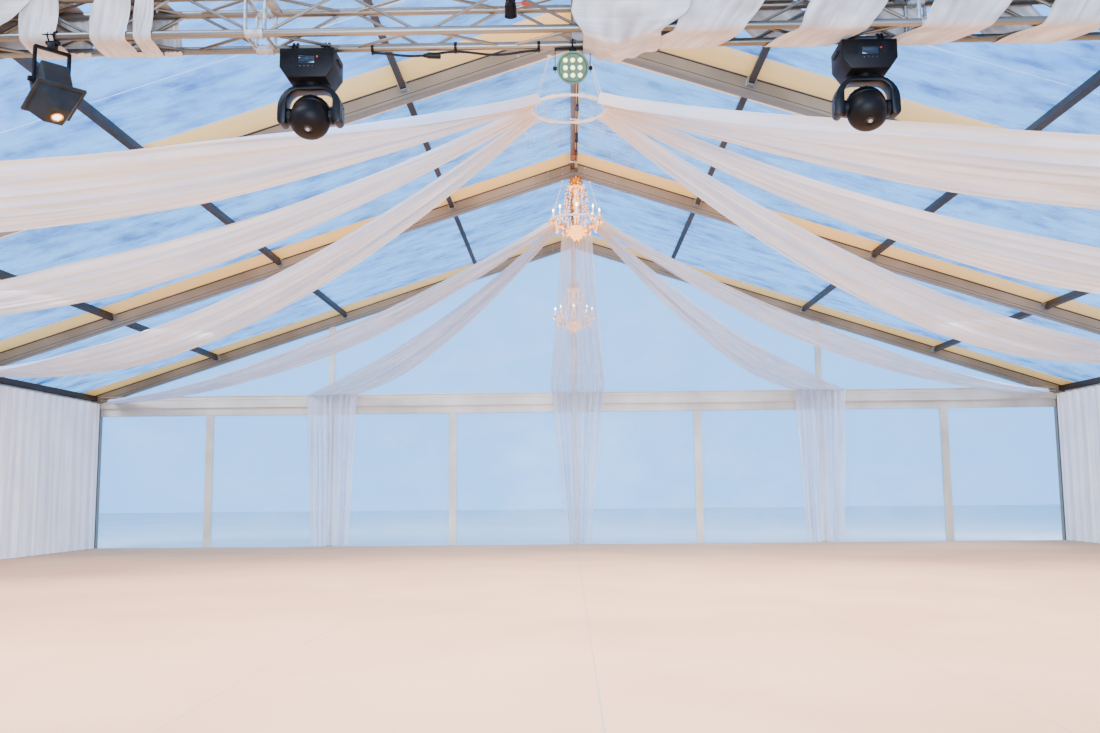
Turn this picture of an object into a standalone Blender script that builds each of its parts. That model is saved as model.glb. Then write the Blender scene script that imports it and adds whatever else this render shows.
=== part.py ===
"""Clear-roofed marquee tent: five bays of a 20 m clear-span frame with its drapes, chandeliers and truss.

X runs across the tent, Y along it towards the back gable, Z up. The origin is on the ground at the middle
of the plan. All sizes are in metres.
"""

import math

import bmesh
import bpy
from mathutils import Euler, Matrix, Vector

# Driving dimensions of the tent.
SPAN = 20.0
BAY = 5.0
BAY_COUNT = 5
ROOF_PITCH = math.radians(18.0)
EAVE_HEIGHT = 3.15
GAP = 0.0003

# Portal frames: legs and rafters are one aluminium box profile.
PROFILE_DEPTH = 0.24
PROFILE_WIDTH = 0.12
BASE_PLATE_THICK = 0.012
BASE_PLATE_WIDTH = 0.30
BASE_PLATE_OUTREACH = 0.12

# Purlins, measured across and square to the roof slope.
PURLIN_XS = (2.0, 4.75, 7.4)
PURLIN_WIDTH = 0.07
PURLIN_DEPTH = 0.10
RIDGE_PURLIN_WIDTH = 0.12
EAVE_PURLIN_SIDE = 0.10
EAVE_PURLIN_INSET = 0.07

# Covers and walls.
COVER_THICK = 0.003
COVER_DROP = 0.035
COVER_EDGE_INSET = 0.02
WALL_INSET = 0.05
WALL_FOOT = 0.02
WALL_RAIL_DEPTH = 0.04
WALL_RAIL_HEIGHT = 0.06
CURTAIN_THICK = 0.08
CURTAIN_END_INSET = 0.20
CURTAIN_TOP = 2.96

# Floor: boards with a carpet over them.
DECK_THICK = 0.034
CARPET_THICK = 0.006
FLOOR_CLEAR_OF_PLATES = 0.005

# Gables.
GABLE_OUTER_FACE = 0.045
UPRIGHT_XS = (-5.0, 0.0, 5.0)
UPRIGHT_WIDTH = 0.11
UPRIGHT_INNER_FACE = 0.055
POST_XS = (-7.5, -2.5, 2.5, 7.5)
POST_WIDTH = 0.15
POST_INNER_FACE = 0.035
BEAM_BOTTOM = 2.87
BEAM_TOP = 3.11
BEAM_INNER_FACE = 0.075
HEADER_BOTTOM = 2.71
HEADER_INNER_FACE = 0.03
POST_PLATE_THICK = 0.01
POST_PLATE_OUTREACH = 0.03
MEMBER_STEP = 0.001
MEMBER_LAP = 0.02
DOORWAY_HALF = POST_XS[2] - POST_WIDTH / 2

# Chandeliers. Heights are above the cups' rims.
CHANDELIER_ARMS = 8
CANDLE_CIRCLE = 0.37
CANDLE_RADIUS = 0.013
CANDLE_HEIGHT = 0.19
CUP_RADIUS = 0.03
CUP_HEIGHT = 0.03
ARM_RADIUS = 0.008
ARM_ROOT_RADIUS = 0.05
ARM_ROOT_HEIGHT = -0.10
ARM_DIP_HEIGHT = -0.17
CANOPY_RADIUS = 0.05
CANOPY_HEIGHT = 0.07
ROD_RADIUS = 0.008
CROWN_HEIGHT = 0.60
CROWN_RADIUS = 0.17
STEM_RADIUS = 0.03
BALUSTER_RADIUS = 0.06
BOWL_RADIUS = 0.16
BOWL_HEIGHT = -0.12
FINIAL_HEIGHT = -0.38
CANOPY_RIM_SHARE = 0.9
CANOPY_RIM_DROP_SHARE = 0.3
CROWN_DROP = 0.04
CROWN_NECK_RADIUS = 0.048
CROWN_NECK_DROP = 0.10
CROWN_FOOT_DROP = 0.20
SHOULDER_RADIUS = 0.088
SHOULDER_RISE = 0.10
BOWL_FOOT_RADIUS = 0.12
BOWL_FOOT_DROP = 0.10
BOWL_NECK_RADIUS = 0.048
BOWL_NECK_DROP = 0.18
FINIAL_RADIUS = 0.024
FINIAL_ROUND = 0.02
ARM_DIP_START_SHARE = 0.38
ARM_DIP_END_SHARE = 0.72
ARM_DIP_RISE = 0.015
ARM_RISE_SHARE = 0.92
CANDLE_SEAT = 0.005
STEM_STEPS = 12
FRONT_CHANDELIER_HEIGHT = 5.42
BACK_CHANDELIER_HEIGHT = 4.60
BACK_CHANDELIER_Y = 11.95

# Hoops that carry the ceiling drapes. The back one hangs round a chandelier's candles.
HOOP_CLEAR_OF_CANDLES = 0.06
HOOP_RADIUS = CANDLE_CIRCLE + HOOP_CLEAR_OF_CANDLES
HOOP_TUBE_RADIUS = 0.011
HOOP_HEIGHT = 5.40
HOOP_FRONT = (-0.09, 2.5)
HOOP_BACK = (0.03, 7.5)
HOOP_WIRE_RADIUS = 0.004
HOOP_WIRE_ANGLE = math.radians(22.5)
HOOP_EYE_OFFSET = 0.22
HOOP_EYE_SIDE = 0.03
HOOP_SEGMENTS = 24
THIN_TUBE_SIDES = 6

# Voile swags. Each starts at its hoop with a width, spreads with each metre of its run up to its widest,
# and narrows again over the last share of the run.
VOILE_THICK = 0.008
SWAG_STATIONS = 12
SWAG_CUP_SHARE = 0.08
SWAG_NARROWING_SHARE = 0.45
SWAG_END_X = 9.45
EAVE_SWAG_START = 0.17
EAVE_SWAG_END = 0.34
# The front hoop's swags: the place of the frame each one runs to, its spread, its widest and its sag.
FRONT_SWAGS = {
    "near": (2, 0.60, 2.2, 0.52),
    "middle": (3, 0.29, 1.57, 0.62),
    "far": (4, 0.20, 1.9, 0.80),
}
CORNER_SWAG_HEIGHT = 3.0
CORNER_SWAG_START = 0.10
CORNER_SWAG_SPREAD = 0.24
CORNER_SWAG_WIDEST = 1.1
CORNER_SWAG_SAG = 0.55
GABLE_SWAG_X = 4.98
GABLE_SWAG_SPREAD = 0.19
GABLE_SWAG_WIDEST = 1.10
GABLE_SWAG_END = 1.05
GABLE_SWAG_SAG = 0.35
CENTRE_SWAG_X = 0.06
CENTRE_SWAG_START = 0.48
CENTRE_SWAG_SPREAD = 0.16
CENTRE_SWAG_WIDEST = 1.12
CENTRE_SWAG_END = 1.10
CENTRE_SWAG_SAG = 0.30

# Tails: the ends of the gable swags, which hang in front of the beam.
TAIL_STATIONS = 5
TAIL_TOP_BELOW_BEAM = 0.04
TAIL_FOOT_CLEAR = 0.02
TAIL_NARROWER = 0.03
GABLE_TAIL_FOOT = 0.75
CENTRE_TAIL_FOOT = 0.45
SWAG_TO_BEAM = 0.02

# Lighting truss.
TRUSS_Y = -2.8
TRUSS_HALF_LENGTH = 5.0
TRUSS_CHORD_SPACING = 0.239
TRUSS_CHORD_RADIUS = 0.025
TRUSS_BAR_RADIUS = 0.010
TRUSS_BOTTOM = 3.88
TRUSS_ZIGZAG = 0.5
TRUSS_ZIGZAG_INSET = 0.03
DROP_RADIUS = 0.006
DROP_CLAMP_SIDE = 0.06
DROP_CLAMP_HEIGHT = 0.05
DROP_SEAT_HALF = 0.015
TRUSS_BAR_SIDES = 4

# Cables: one in loops along the truss's far bottom chord, and one under the ridge purlin.
CABLE_RADIUS = 0.008
TRUSS_CABLE_XS = (-1.35, -0.30)
TRUSS_CABLE_LOOPS = 2
TRUSS_CABLE_SAG = 0.055
RIDGE_CABLE_YS = (3.2, 7.0)
RIDGE_CABLE_LOOPS = 2
RIDGE_CABLE_SAG = 0.07
RIDGE_CABLE_X = 0.03
CABLE_LOOP_POINTS = 6

# Cloth wound round the truss.
WRAP_THICK = 0.012
WRAP_LEFT = (-4.9, -2.72)
WRAP_RIGHT = (0.06, 4.9)
BUNCH_WIDTH = 0.58
BUNCH_THICK = 0.05
BUNCH_DROP = 0.135
WRAP_HOLE_CLEAR = 0.02

# Lamps on the truss.
HEAD_LAMP_X = 1.735
HEAD_BASE = (0.34, 0.28, 0.19)
HEAD_BASE_TOP = 3.83
HEAD_BASE_TAPER = 0.05
HEAD_BASE_TAPER_HEIGHT = 0.07
HEAD_SPINDLE_RADIUS = 0.07
HEAD_PAN_CLEAR = 0.012
HEAD_YOKE_WIDTH = 0.40
HEAD_YOKE_ARM = 0.055
HEAD_YOKE_DEPTH = 0.12
HEAD_YOKE_BAR = 0.035
HEAD_YOKE_CORNER = 0.07
YOKE_INNER_CORNER_SHARE = 0.4
HEAD_PIVOT_DROP = 0.158
HEAD_ARM_BELOW_PIVOT = 0.06
HEAD_RADIUS = 0.125
HEAD_BACK = 0.12
HEAD_FRONT = 0.135
HEAD_TILT = math.radians(35.0)
HEAD_CAP_RADIUS = 0.06
HEAD_SHOULDER_RADIUS = 0.11
HEAD_SHOULDER_SHARE = 0.65
HEAD_WAIST_SHARE = 0.25
HEAD_RIM_SHARE = 0.45
HEAD_DOME_SHARE = 0.8
HEAD_DOME_RADIUS = 0.10
HEAD_LENS_RADIUS = 0.05
HEAD_STEPS = 16
SPINDLE_SINK = 0.01
TRUNNION_RADIUS = 0.02
TRUNNION_SIDES = 12
CLAMP_BAR_WIDTH = 0.05
CLAMP_BAR_OFFSET = 0.10
CLAMP_BAR_SINK = 0.02
FLOOD_X = -3.27
FLOOD_PIVOT = 3.58
FLOOD_TURN = math.radians(48.0)
FLOOD_TILT = math.radians(26.0)
FLOOD_BODY = (0.17, 0.20, 0.20)
FLOOD_BACK = 0.08
FLOOD_FLANGE = (0.29, 0.27, 0.02)
FLOOD_NOSE_ROOT = (0.26, 0.24)
FLOOD_NOSE_TIP = (0.11, 0.13)
FLOOD_NOSE_LENGTH = 0.125
FLOOD_LENS_RADIUS = 0.03
FLOOD_LENS_LENGTH = 0.008
FLOOD_YOKE_ARM = 0.018
FLOOD_YOKE_DEPTH = 0.025
FLOOD_YOKE_REACH = 0.22
FLOOD_YOKE_BELOW_PIVOT = 0.03
PAR_X = -0.088
PAR_PIVOT = 3.725
PAR_RADIUS = 0.10
PAR_LENGTH = 0.11
PAR_TILT = math.radians(72.0)
PAR_YOKE_ARM = 0.005
PAR_YOKE_DEPTH = 0.03
PAR_YOKE_REACH = 0.126
YOKE_SIDE_CLEAR = 0.008
YOKE_CLAMP_SIDE = 0.05
YOKE_PIN_RADIUS = 0.012
YOKE_PIN_SIDES = 10
ROUND_SIDES = 20

# Derived sizes.
HALF_SPAN = SPAN / 2
LEG_INNER = HALF_SPAN - PROFILE_DEPTH
HALF_LENGTH = BAY * BAY_COUNT / 2
FRAME_YS = [BAY * i - HALF_LENGTH for i in range(BAY_COUNT + 1)]
SLOPE = math.tan(ROOF_PITCH)
COVER_UNDERSIDE = COVER_DROP + COVER_THICK
FLOOR_TOP = DECK_THICK + GAP + CARPET_THICK
TRUSS_HALF_SPACING = TRUSS_CHORD_SPACING / 2
TRUSS_UNDERSIDE = TRUSS_BOTTOM - TRUSS_CHORD_RADIUS


def roof_top(x):
    """Height of the rafters' top edge at x."""
    return EAVE_HEIGHT + (HALF_SPAN - abs(x)) * SLOPE


def below_roof(x, depth):
    """Height of a line that lies depth under the roof line, measured square to the slope."""
    return roof_top(x) - depth / math.cos(ROOF_PITCH)


def rafter_underside(x):
    return below_roof(x, PROFILE_DEPTH)


for old in list(bpy.data.objects):
    bpy.data.objects.remove(old, do_unlink=True)

parts = bpy.data.collections.new("marquee_tent")
bpy.context.scene.collection.children.link(parts)


def make_material(name, colour, roughness, metallic=0.0, alpha=1.0):
    material = bpy.data.materials.new(name)
    material.use_nodes = True
    shader = material.node_tree.nodes["Principled BSDF"]
    shader.inputs["Base Color"].default_value = (*colour, 1.0)
    shader.inputs["Roughness"].default_value = roughness
    shader.inputs["Metallic"].default_value = metallic
    shader.inputs["Alpha"].default_value = alpha
    material.diffuse_color = (*colour, alpha)
    return material


ALUMINIUM = make_material("frame aluminium", (0.62, 0.57, 0.50), 0.4, 0.6)
PURLIN_METAL = make_material("purlin aluminium", (0.30, 0.26, 0.23), 0.45, 0.5)
CLEAR_SHEET = make_material("clear sheet", (0.85, 0.92, 0.97), 0.08, 0.0, 0.25)
WHITE_PVC = make_material("white sheeting", (0.86, 0.86, 0.85), 0.45)
VOILE = make_material("white voile", (0.90, 0.89, 0.88), 0.9)
BOARDS = make_material("floor boards", (0.35, 0.30, 0.24), 0.7)
CARPET = make_material("beige carpet", (0.62, 0.50, 0.42), 0.95)
GOLD = make_material("gilt metal", (0.80, 0.55, 0.18), 0.3, 1.0)
WHITE_METAL = make_material("white enamel", (0.88, 0.87, 0.85), 0.4)
SILVER = make_material("truss aluminium", (0.66, 0.65, 0.64), 0.35, 0.8)
BLACK = make_material("black enamel", (0.03, 0.03, 0.035), 0.45)


def add_object(name, mesh, material=None, location=(0, 0, 0), rotation=(0, 0, 0)):
    """Puts a mesh in the marquee's collection, as one named piece."""
    obj = bpy.data.objects.new(name, mesh)
    obj.location = location
    obj.rotation_euler = rotation
    if material and not mesh.materials:
        mesh.materials.append(material)
    parts.objects.link(obj)
    return obj


def baked(obj):
    """The object's evaluated shape as a plain mesh in world space. The object itself is removed."""
    bpy.context.view_layer.update()
    shape = obj.evaluated_get(bpy.context.evaluated_depsgraph_get())
    mesh = bpy.data.meshes.new_from_object(shape)
    mesh.transform(obj.matrix_world)
    bpy.data.objects.remove(obj, do_unlink=True)
    welded = bmesh.new()
    welded.from_mesh(mesh)
    bmesh.ops.remove_doubles(welded, verts=welded.verts, dist=1e-6)
    bmesh.ops.recalc_face_normals(welded, faces=welded.faces)
    welded.to_mesh(mesh)
    welded.free()
    return mesh


def box(low, high):
    """A box between two corners, as a mesh."""
    low = Vector(low)
    high = Vector(high)
    shape = bmesh.new()
    bmesh.ops.create_cube(shape, size=1.0)
    bmesh.ops.scale(shape, vec=high - low, verts=shape.verts)
    bmesh.ops.translate(shape, vec=(low + high) / 2, verts=shape.verts)
    mesh = bpy.data.meshes.new("box")
    shape.to_mesh(mesh)
    shape.free()
    return mesh


def centred_box(size, centre=(0, 0, 0)):
    half = Vector(size) / 2
    return box(Vector(centre) - half, Vector(centre) + half)


def cylinder(start, end, radius, sides, end_radius=None):
    """A cylinder or a cone between two points, as a mesh."""
    start = Vector(start)
    end = Vector(end)
    shape = bmesh.new()
    bmesh.ops.create_cone(
        shape,
        cap_ends=True,
        segments=sides,
        radius1=radius,
        radius2=radius if end_radius is None else end_radius,
        depth=(end - start).length,
    )
    turn = (end - start).to_track_quat("Z", "Y").to_matrix().to_4x4()
    bmesh.ops.transform(shape, matrix=Matrix.Translation((start + end) / 2) @ turn, verts=shape.verts)
    mesh = bpy.data.meshes.new("cylinder")
    shape.to_mesh(mesh)
    shape.free()
    return mesh


def outline(points, y_low, y_high):
    """A flat outline in X and Z, given thickness from y_low to y_high, as a mesh."""
    curve = bpy.data.curves.new("outline", "CURVE")
    curve.dimensions = "2D"
    curve.fill_mode = "BOTH"
    curve.extrude = (y_high - y_low) / 2
    spline = curve.splines.new("POLY")
    spline.points.add(len(points) - 1)
    for point, (x, z) in zip(spline.points, points):
        point.co = (x, z, 0, 1)
    spline.use_cyclic_u = True
    obj = bpy.data.objects.new("outline", curve)
    obj.rotation_euler = (math.radians(90), 0, 0)
    obj.location = (0, (y_low + y_high) / 2, 0)
    parts.objects.link(obj)
    return baked(obj)


def tube(points, radius):
    """A square-sided tube along a list of points, as a mesh."""
    curve = bpy.data.curves.new("tube", "CURVE")
    curve.dimensions = "3D"
    curve.bevel_depth = radius
    curve.bevel_resolution = 0
    curve.use_fill_caps = True
    spline = curve.splines.new("POLY")
    spline.points.add(len(points) - 1)
    for target, point in zip(spline.points, points):
        target.co = (*point, 1)
    obj = bpy.data.objects.new("tube", curve)
    parts.objects.link(obj)
    return baked(obj)


def turned(profile, steps):
    """A solid turned about Z from (radius, z) points that run from the top down."""
    mesh = bpy.data.meshes.new("profile")
    points = [(radius, 0, z) for radius, z in profile]
    mesh.from_pydata(points, [(i, i + 1) for i in range(len(points) - 1)], [])
    obj = bpy.data.objects.new("profile", mesh)
    parts.objects.link(obj)
    screw = obj.modifiers.new("turn", "SCREW")
    screw.steps = steps
    screw.render_steps = steps
    screw.use_merge_vertices = True
    screw.merge_threshold = 0.00005
    return baked(obj)


def moved(mesh, matrix):
    mesh.transform(matrix)
    return mesh


def joined(meshes):
    """One mesh that holds all the given ones."""
    shape = bmesh.new()
    for mesh in meshes:
        shape.from_mesh(mesh)
    result = bpy.data.meshes.new("joined")
    shape.to_mesh(result)
    shape.free()
    return result


def boolean(mesh, other, operation, self_crossing=False):
    """The mesh after one Boolean with another mesh."""
    target = add_object("boolean_target", mesh)
    tool = add_object("boolean_tool", other)
    modifier = target.modifiers.new("boolean", "BOOLEAN")
    modifier.operation = operation
    modifier.solver = "EXACT"
    modifier.use_self = self_crossing
    modifier.object = tool
    result = baked(target)
    bpy.data.objects.remove(tool, do_unlink=True)
    return result


def fused(meshes):
    """The union of pieces that overlap each other, as one closed mesh."""
    return boolean(meshes[0], joined(meshes[1:]), "UNION", self_crossing=True)


def cut(mesh, cutters):
    """The mesh less the cutters, which don't overlap each other."""
    return boolean(mesh, joined(cutters), "DIFFERENCE")


def smooth(obj, angle=40.0):
    obj.data.shade_smooth()
    obj.data.set_sharp_from_angle(angle=math.radians(angle))
    return obj


# Purlins: each line is one bar that runs through every rafter.


def purlin_section(x, clearance=0.0):
    """The bar at x as a mesh over the tent's whole length, grown all round by the clearance."""
    length = PURLIN_LENGTH + 2 * clearance
    if x == 0:
        size = (RIDGE_PURLIN_WIDTH + 2 * clearance, length, PURLIN_DEPTH + 2 * clearance)
        return centred_box(size, (0, 0, RIDGE_PURLIN_TOP - PURLIN_DEPTH / 2))
    side = math.copysign(1, x)
    if abs(x) == EAVE_PURLIN_X:
        outer = abs(x) + EAVE_PURLIN_SIDE / 2
        top = below_roof(outer, COVER_UNDERSIDE + GAP)
        size = (EAVE_PURLIN_SIDE + 2 * clearance, length, EAVE_PURLIN_SIDE + 2 * clearance)
        return centred_box(size, (x, 0, top - EAVE_PURLIN_SIDE / 2))
    size = (PURLIN_WIDTH + 2 * clearance, length, PURLIN_DEPTH + 2 * clearance)
    turn = Euler((0, side * ROOF_PITCH, 0)).to_matrix().to_4x4()
    drop = COVER_UNDERSIDE + GAP + PURLIN_DEPTH / 2
    centre = Vector((x, 0, roof_top(x))) - turn.to_3x3() @ Vector((0, 0, drop))
    return moved(centred_box(size), Matrix.Translation(centre) @ turn)


def loops(start, end, count, sag):
    """Points of a cable that hangs in loops between ties, from start to end."""
    start = Vector(start)
    end = Vector(end)
    points = []
    for i in range(count * CABLE_LOOP_POINTS + 1):
        point = start.lerp(end, i / (count * CABLE_LOOP_POINTS))
        point.z -= sag * abs(math.sin(math.pi * i / CABLE_LOOP_POINTS))
        points.append(point)
    return points


PURLIN_LENGTH = 2 * HALF_LENGTH + PROFILE_WIDTH
RIDGE_PURLIN_TOP = below_roof(RIDGE_PURLIN_WIDTH / 2, COVER_UNDERSIDE + GAP)
EAVE_PURLIN_X = HALF_SPAN - EAVE_PURLIN_INSET - EAVE_PURLIN_SIDE / 2
PURLIN_NAMES = {0: "ridge_purlin"}
for index, purlin_x in enumerate((*PURLIN_XS, EAVE_PURLIN_X)):
    kind = "eave_purlin" if purlin_x == EAVE_PURLIN_X else f"purlin_{index + 1}"
    PURLIN_NAMES[-purlin_x] = f"left_{kind}"
    PURLIN_NAMES[purlin_x] = f"right_{kind}"

for purlin_x, purlin_name in PURLIN_NAMES.items():
    bar = purlin_section(purlin_x)
    if purlin_x == 0:
        cable_z = RIDGE_PURLIN_TOP - PURLIN_DEPTH
        ends = [(RIDGE_CABLE_X, y, cable_z) for y in RIDGE_CABLE_YS]
        bar = fused([bar, tube(loops(*ends, RIDGE_CABLE_LOOPS, RIDGE_CABLE_SAG), CABLE_RADIUS)])
    add_object(purlin_name, bar, PURLIN_METAL)


# Portal frames: two legs and two rafters, with a base plate under each leg.


def portal_frame():
    section = [
        (LEG_INNER, 0),
        (LEG_INNER, rafter_underside(LEG_INNER)),
        (0, rafter_underside(0)),
        (-LEG_INNER, rafter_underside(LEG_INNER)),
        (-LEG_INNER, 0),
        (-HALF_SPAN, 0),
        (-HALF_SPAN, EAVE_HEIGHT),
        (0, roof_top(0)),
        (HALF_SPAN, EAVE_HEIGHT),
        (HALF_SPAN, 0),
    ]
    pieces = [outline(section, -PROFILE_WIDTH / 2, PROFILE_WIDTH / 2)]
    for side in (-1, 1):
        low = min(side * (LEG_INNER + GAP), side * (HALF_SPAN + BASE_PLATE_OUTREACH))
        high = max(side * (LEG_INNER + GAP), side * (HALF_SPAN + BASE_PLATE_OUTREACH))
        reach = BASE_PLATE_WIDTH / 2
        pieces.append(box((low, -reach, 0), (high, reach, BASE_PLATE_THICK)))
    holes = [purlin_section(x, GAP) for x in PURLIN_NAMES]
    return cut(fused(pieces), holes)


frame_mesh = portal_frame()
for index, frame_y in enumerate(FRAME_YS):
    add_object(f"portal_frame_{index + 1}", frame_mesh, ALUMINIUM, (0, frame_y, 0))


# Roof covers: one clear sheet for each bay, from eave to eave over the ridge.


def roof_cover():
    edge = HALF_SPAN - COVER_EDGE_INSET
    points = []
    for depth, xs in ((COVER_DROP, (-edge, 0, edge)), (COVER_UNDERSIDE, (edge, 0, -edge))):
        points += [(x, below_roof(x, depth)) for x in xs]
    reach = (BAY - PROFILE_WIDTH) / 2 - GAP
    return outline(points, -reach, reach)


cover_mesh = roof_cover()
for index in range(BAY_COUNT):
    middle = FRAME_YS[index] + BAY / 2
    add_object(f"roof_cover_{index + 1}", cover_mesh, CLEAR_SHEET, (0, middle, 0))


# Side walls: one sheet between each pair of legs, held by a ground rail outside them.


def side_wall():
    """The right-hand wall."""
    outer = HALF_SPAN - WALL_INSET
    inner = outer - COVER_THICK
    top = below_roof(outer, COVER_UNDERSIDE) - GAP
    rail_x = HALF_SPAN + GAP
    reach = (BAY - PROFILE_WIDTH) / 2 - GAP
    end = HALF_LENGTH + PROFILE_WIDTH / 2
    pieces = [box((rail_x, -end, WALL_FOOT), (rail_x + WALL_RAIL_DEPTH, end, WALL_FOOT + WALL_RAIL_HEIGHT))]
    for index in range(BAY_COUNT):
        middle = FRAME_YS[index] + BAY / 2
        pieces.append(box((inner, middle - reach, WALL_FOOT), (outer, middle + reach, top)))
        flange_top = WALL_FOOT + WALL_RAIL_HEIGHT / 2
        flange_x = rail_x + WALL_RAIL_DEPTH / 2
        pieces.append(box((inner, middle - reach, WALL_FOOT), (flange_x, middle + reach, flange_top)))
    return fused(pieces)


wall_mesh = side_wall()
add_object("right_wall", wall_mesh, WHITE_PVC)
add_object("left_wall", wall_mesh, WHITE_PVC, rotation=(0, 0, math.pi))

for side, wall_name in ((-1, "left"), (1, "right")):
    outer_face = side * (LEG_INNER - GAP)
    inner_face = side * (LEG_INNER - GAP - CURTAIN_THICK)
    y_reach = HALF_LENGTH - CURTAIN_END_INSET
    low = (min(outer_face, inner_face), -y_reach, FLOOR_TOP + GAP)
    high = (max(outer_face, inner_face), y_reach, CURTAIN_TOP)
    add_object(f"{wall_name}_curtain", box(low, high), VOILE)


# Floor.


floor_x = LEG_INNER - GAP
floor_y = HALF_LENGTH - UPRIGHT_INNER_FACE - POST_PLATE_OUTREACH - FLOOR_CLEAR_OF_PLATES
add_object("floor_deck", box((-floor_x, -floor_y, 0), (floor_x, floor_y, DECK_THICK)), BOARDS)
add_object("carpet", box((-floor_x, -floor_y, DECK_THICK + GAP), (floor_x, floor_y, FLOOR_TOP)), CARPET)


# Gables: uprights, posts and an eave beam, with a clear sheet on their outer side.


def gable_frame():
    """The back gable's frame, with its outer side towards +Y and the portal's middle plane at Y = 0.

    Its members overlap where they meet, and their outer faces step back a little from one another.
    """
    top = GAP
    pieces = []
    beam_end = LEG_INNER - GAP
    cut_x = (rafter_underside(0) - top - BEAM_TOP) / SLOPE
    pieces.append(
        outline(
            [
                (-beam_end, BEAM_BOTTOM),
                (beam_end, BEAM_BOTTOM),
                (beam_end, rafter_underside(beam_end) - top),
                (cut_x, BEAM_TOP),
                (-cut_x, BEAM_TOP),
                (-beam_end, rafter_underside(beam_end) - top),
            ],
            -BEAM_INNER_FACE,
            GABLE_OUTER_FACE,
        )
    )
    lap = BEAM_BOTTOM + MEMBER_LAP
    upright_face, header_face, post_face, plate_face = (GABLE_OUTER_FACE - MEMBER_STEP * i for i in range(1, 5))
    pieces.append(box((-beam_end, -HEADER_INNER_FACE, HEADER_BOTTOM), (beam_end, header_face, lap)))
    for x in UPRIGHT_XS:
        low = x - UPRIGHT_WIDTH / 2
        high = x + UPRIGHT_WIDTH / 2
        points = [(high, 0), (high, rafter_underside(high) - top)]
        if low < 0 < high:
            points.append((0, rafter_underside(0) - top))
        points += [(low, rafter_underside(low) - top), (low, 0)]
        pieces.append(outline(points, -UPRIGHT_INNER_FACE, upright_face))
    for x in POST_XS:
        size = POST_WIDTH / 2
        pieces.append(box((x - size, -POST_INNER_FACE, 0), (x + size, post_face, lap)))
    for x in (*UPRIGHT_XS, *POST_XS):
        size = (POST_WIDTH if x in POST_XS else UPRIGHT_WIDTH) / 2
        low = (x - size, -UPRIGHT_INNER_FACE - POST_PLATE_OUTREACH, 0)
        pieces.append(box(low, (x + size, plate_face, POST_PLATE_THICK)))
    return fused(pieces)


def gable_sheet(x_low, x_high, foot):
    """The clear sheet from x_low to x_high, from its foot up to the rafters."""
    points = [(x_low, foot), (x_low, rafter_underside(x_low) - GAP)]
    if x_low < 0 < x_high:
        points.append((0, rafter_underside(0) - GAP))
    points += [(x_high, rafter_underside(x_high) - GAP), (x_high, foot)]
    face = GABLE_OUTER_FACE + GAP
    return outline(points, face, face + COVER_THICK)


gable_mesh = gable_frame()
SHEET_EDGE = LEG_INNER - GAP
GABLE_SHEETS = {
    "back_gable_sheet": (1, -SHEET_EDGE, SHEET_EDGE, WALL_FOOT),
    "front_gable_sheet_left": (-1, DOORWAY_HALF + GAP, SHEET_EDGE, WALL_FOOT),
    "front_gable_sheet_right": (-1, -SHEET_EDGE, -DOORWAY_HALF - GAP, WALL_FOOT),
    "front_gable_sheet_over_door": (-1, -DOORWAY_HALF, DOORWAY_HALF, HEADER_BOTTOM),
}
GABLE_TURN = {1: 0.0, -1: math.pi}
for gable_name, side in (("back_gable_frame", 1), ("front_gable_frame", -1)):
    add_object(gable_name, gable_mesh, ALUMINIUM, (0, side * HALF_LENGTH, 0), (0, 0, GABLE_TURN[side]))
for sheet_name, (side, x_low, x_high, foot) in GABLE_SHEETS.items():
    sheet_mesh = gable_sheet(x_low, x_high, foot)
    add_object(sheet_name, sheet_mesh, CLEAR_SHEET, (0, side * HALF_LENGTH, 0), (0, 0, GABLE_TURN[side]))


# Hoops: a ring on four wires, hooked to two eyes under a rafter.


def hoop(frame_offset_x):
    """The ring about its own centre. Its wires end at the frame's underside, whose ridge is at the offset."""
    bpy.ops.mesh.primitive_torus_add(
        major_segments=HOOP_SEGMENTS,
        minor_segments=THIN_TUBE_SIDES,
        major_radius=HOOP_RADIUS,
        minor_radius=HOOP_TUBE_RADIUS,
    )
    ring = bpy.context.object
    pieces = [baked(ring)]
    for side in (-1, 1):
        eye_x = side * HOOP_EYE_OFFSET
        reach = HOOP_EYE_SIDE / 2
        lowest = max(abs(eye_x - reach + frame_offset_x), abs(eye_x + reach + frame_offset_x))
        eye_top = rafter_underside(lowest) - GAP - HOOP_HEIGHT
        pieces.append(box((eye_x - reach, -reach, eye_top - HOOP_EYE_SIDE), (eye_x + reach, reach, eye_top)))
        for end in (-1, 1):
            foot_x = side * HOOP_RADIUS * math.cos(HOOP_WIRE_ANGLE)
            foot_y = end * HOOP_RADIUS * math.sin(HOOP_WIRE_ANGLE)
            head = (eye_x, end * reach / 2, eye_top - HOOP_EYE_SIDE / 2)
            pieces.append(cylinder((foot_x, foot_y, 0), head, HOOP_WIRE_RADIUS, THIN_TUBE_SIDES))
    return fused(pieces)


for hoop_name, (hoop_x, hoop_y) in (("front_hoop", HOOP_FRONT), ("back_hoop", HOOP_BACK)):
    add_object(hoop_name, hoop(hoop_x), WHITE_METAL, (hoop_x, hoop_y, HOOP_HEIGHT))


# Voile swags: each is a cupped strip that sags from its hoop to the eave or the gable.


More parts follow.
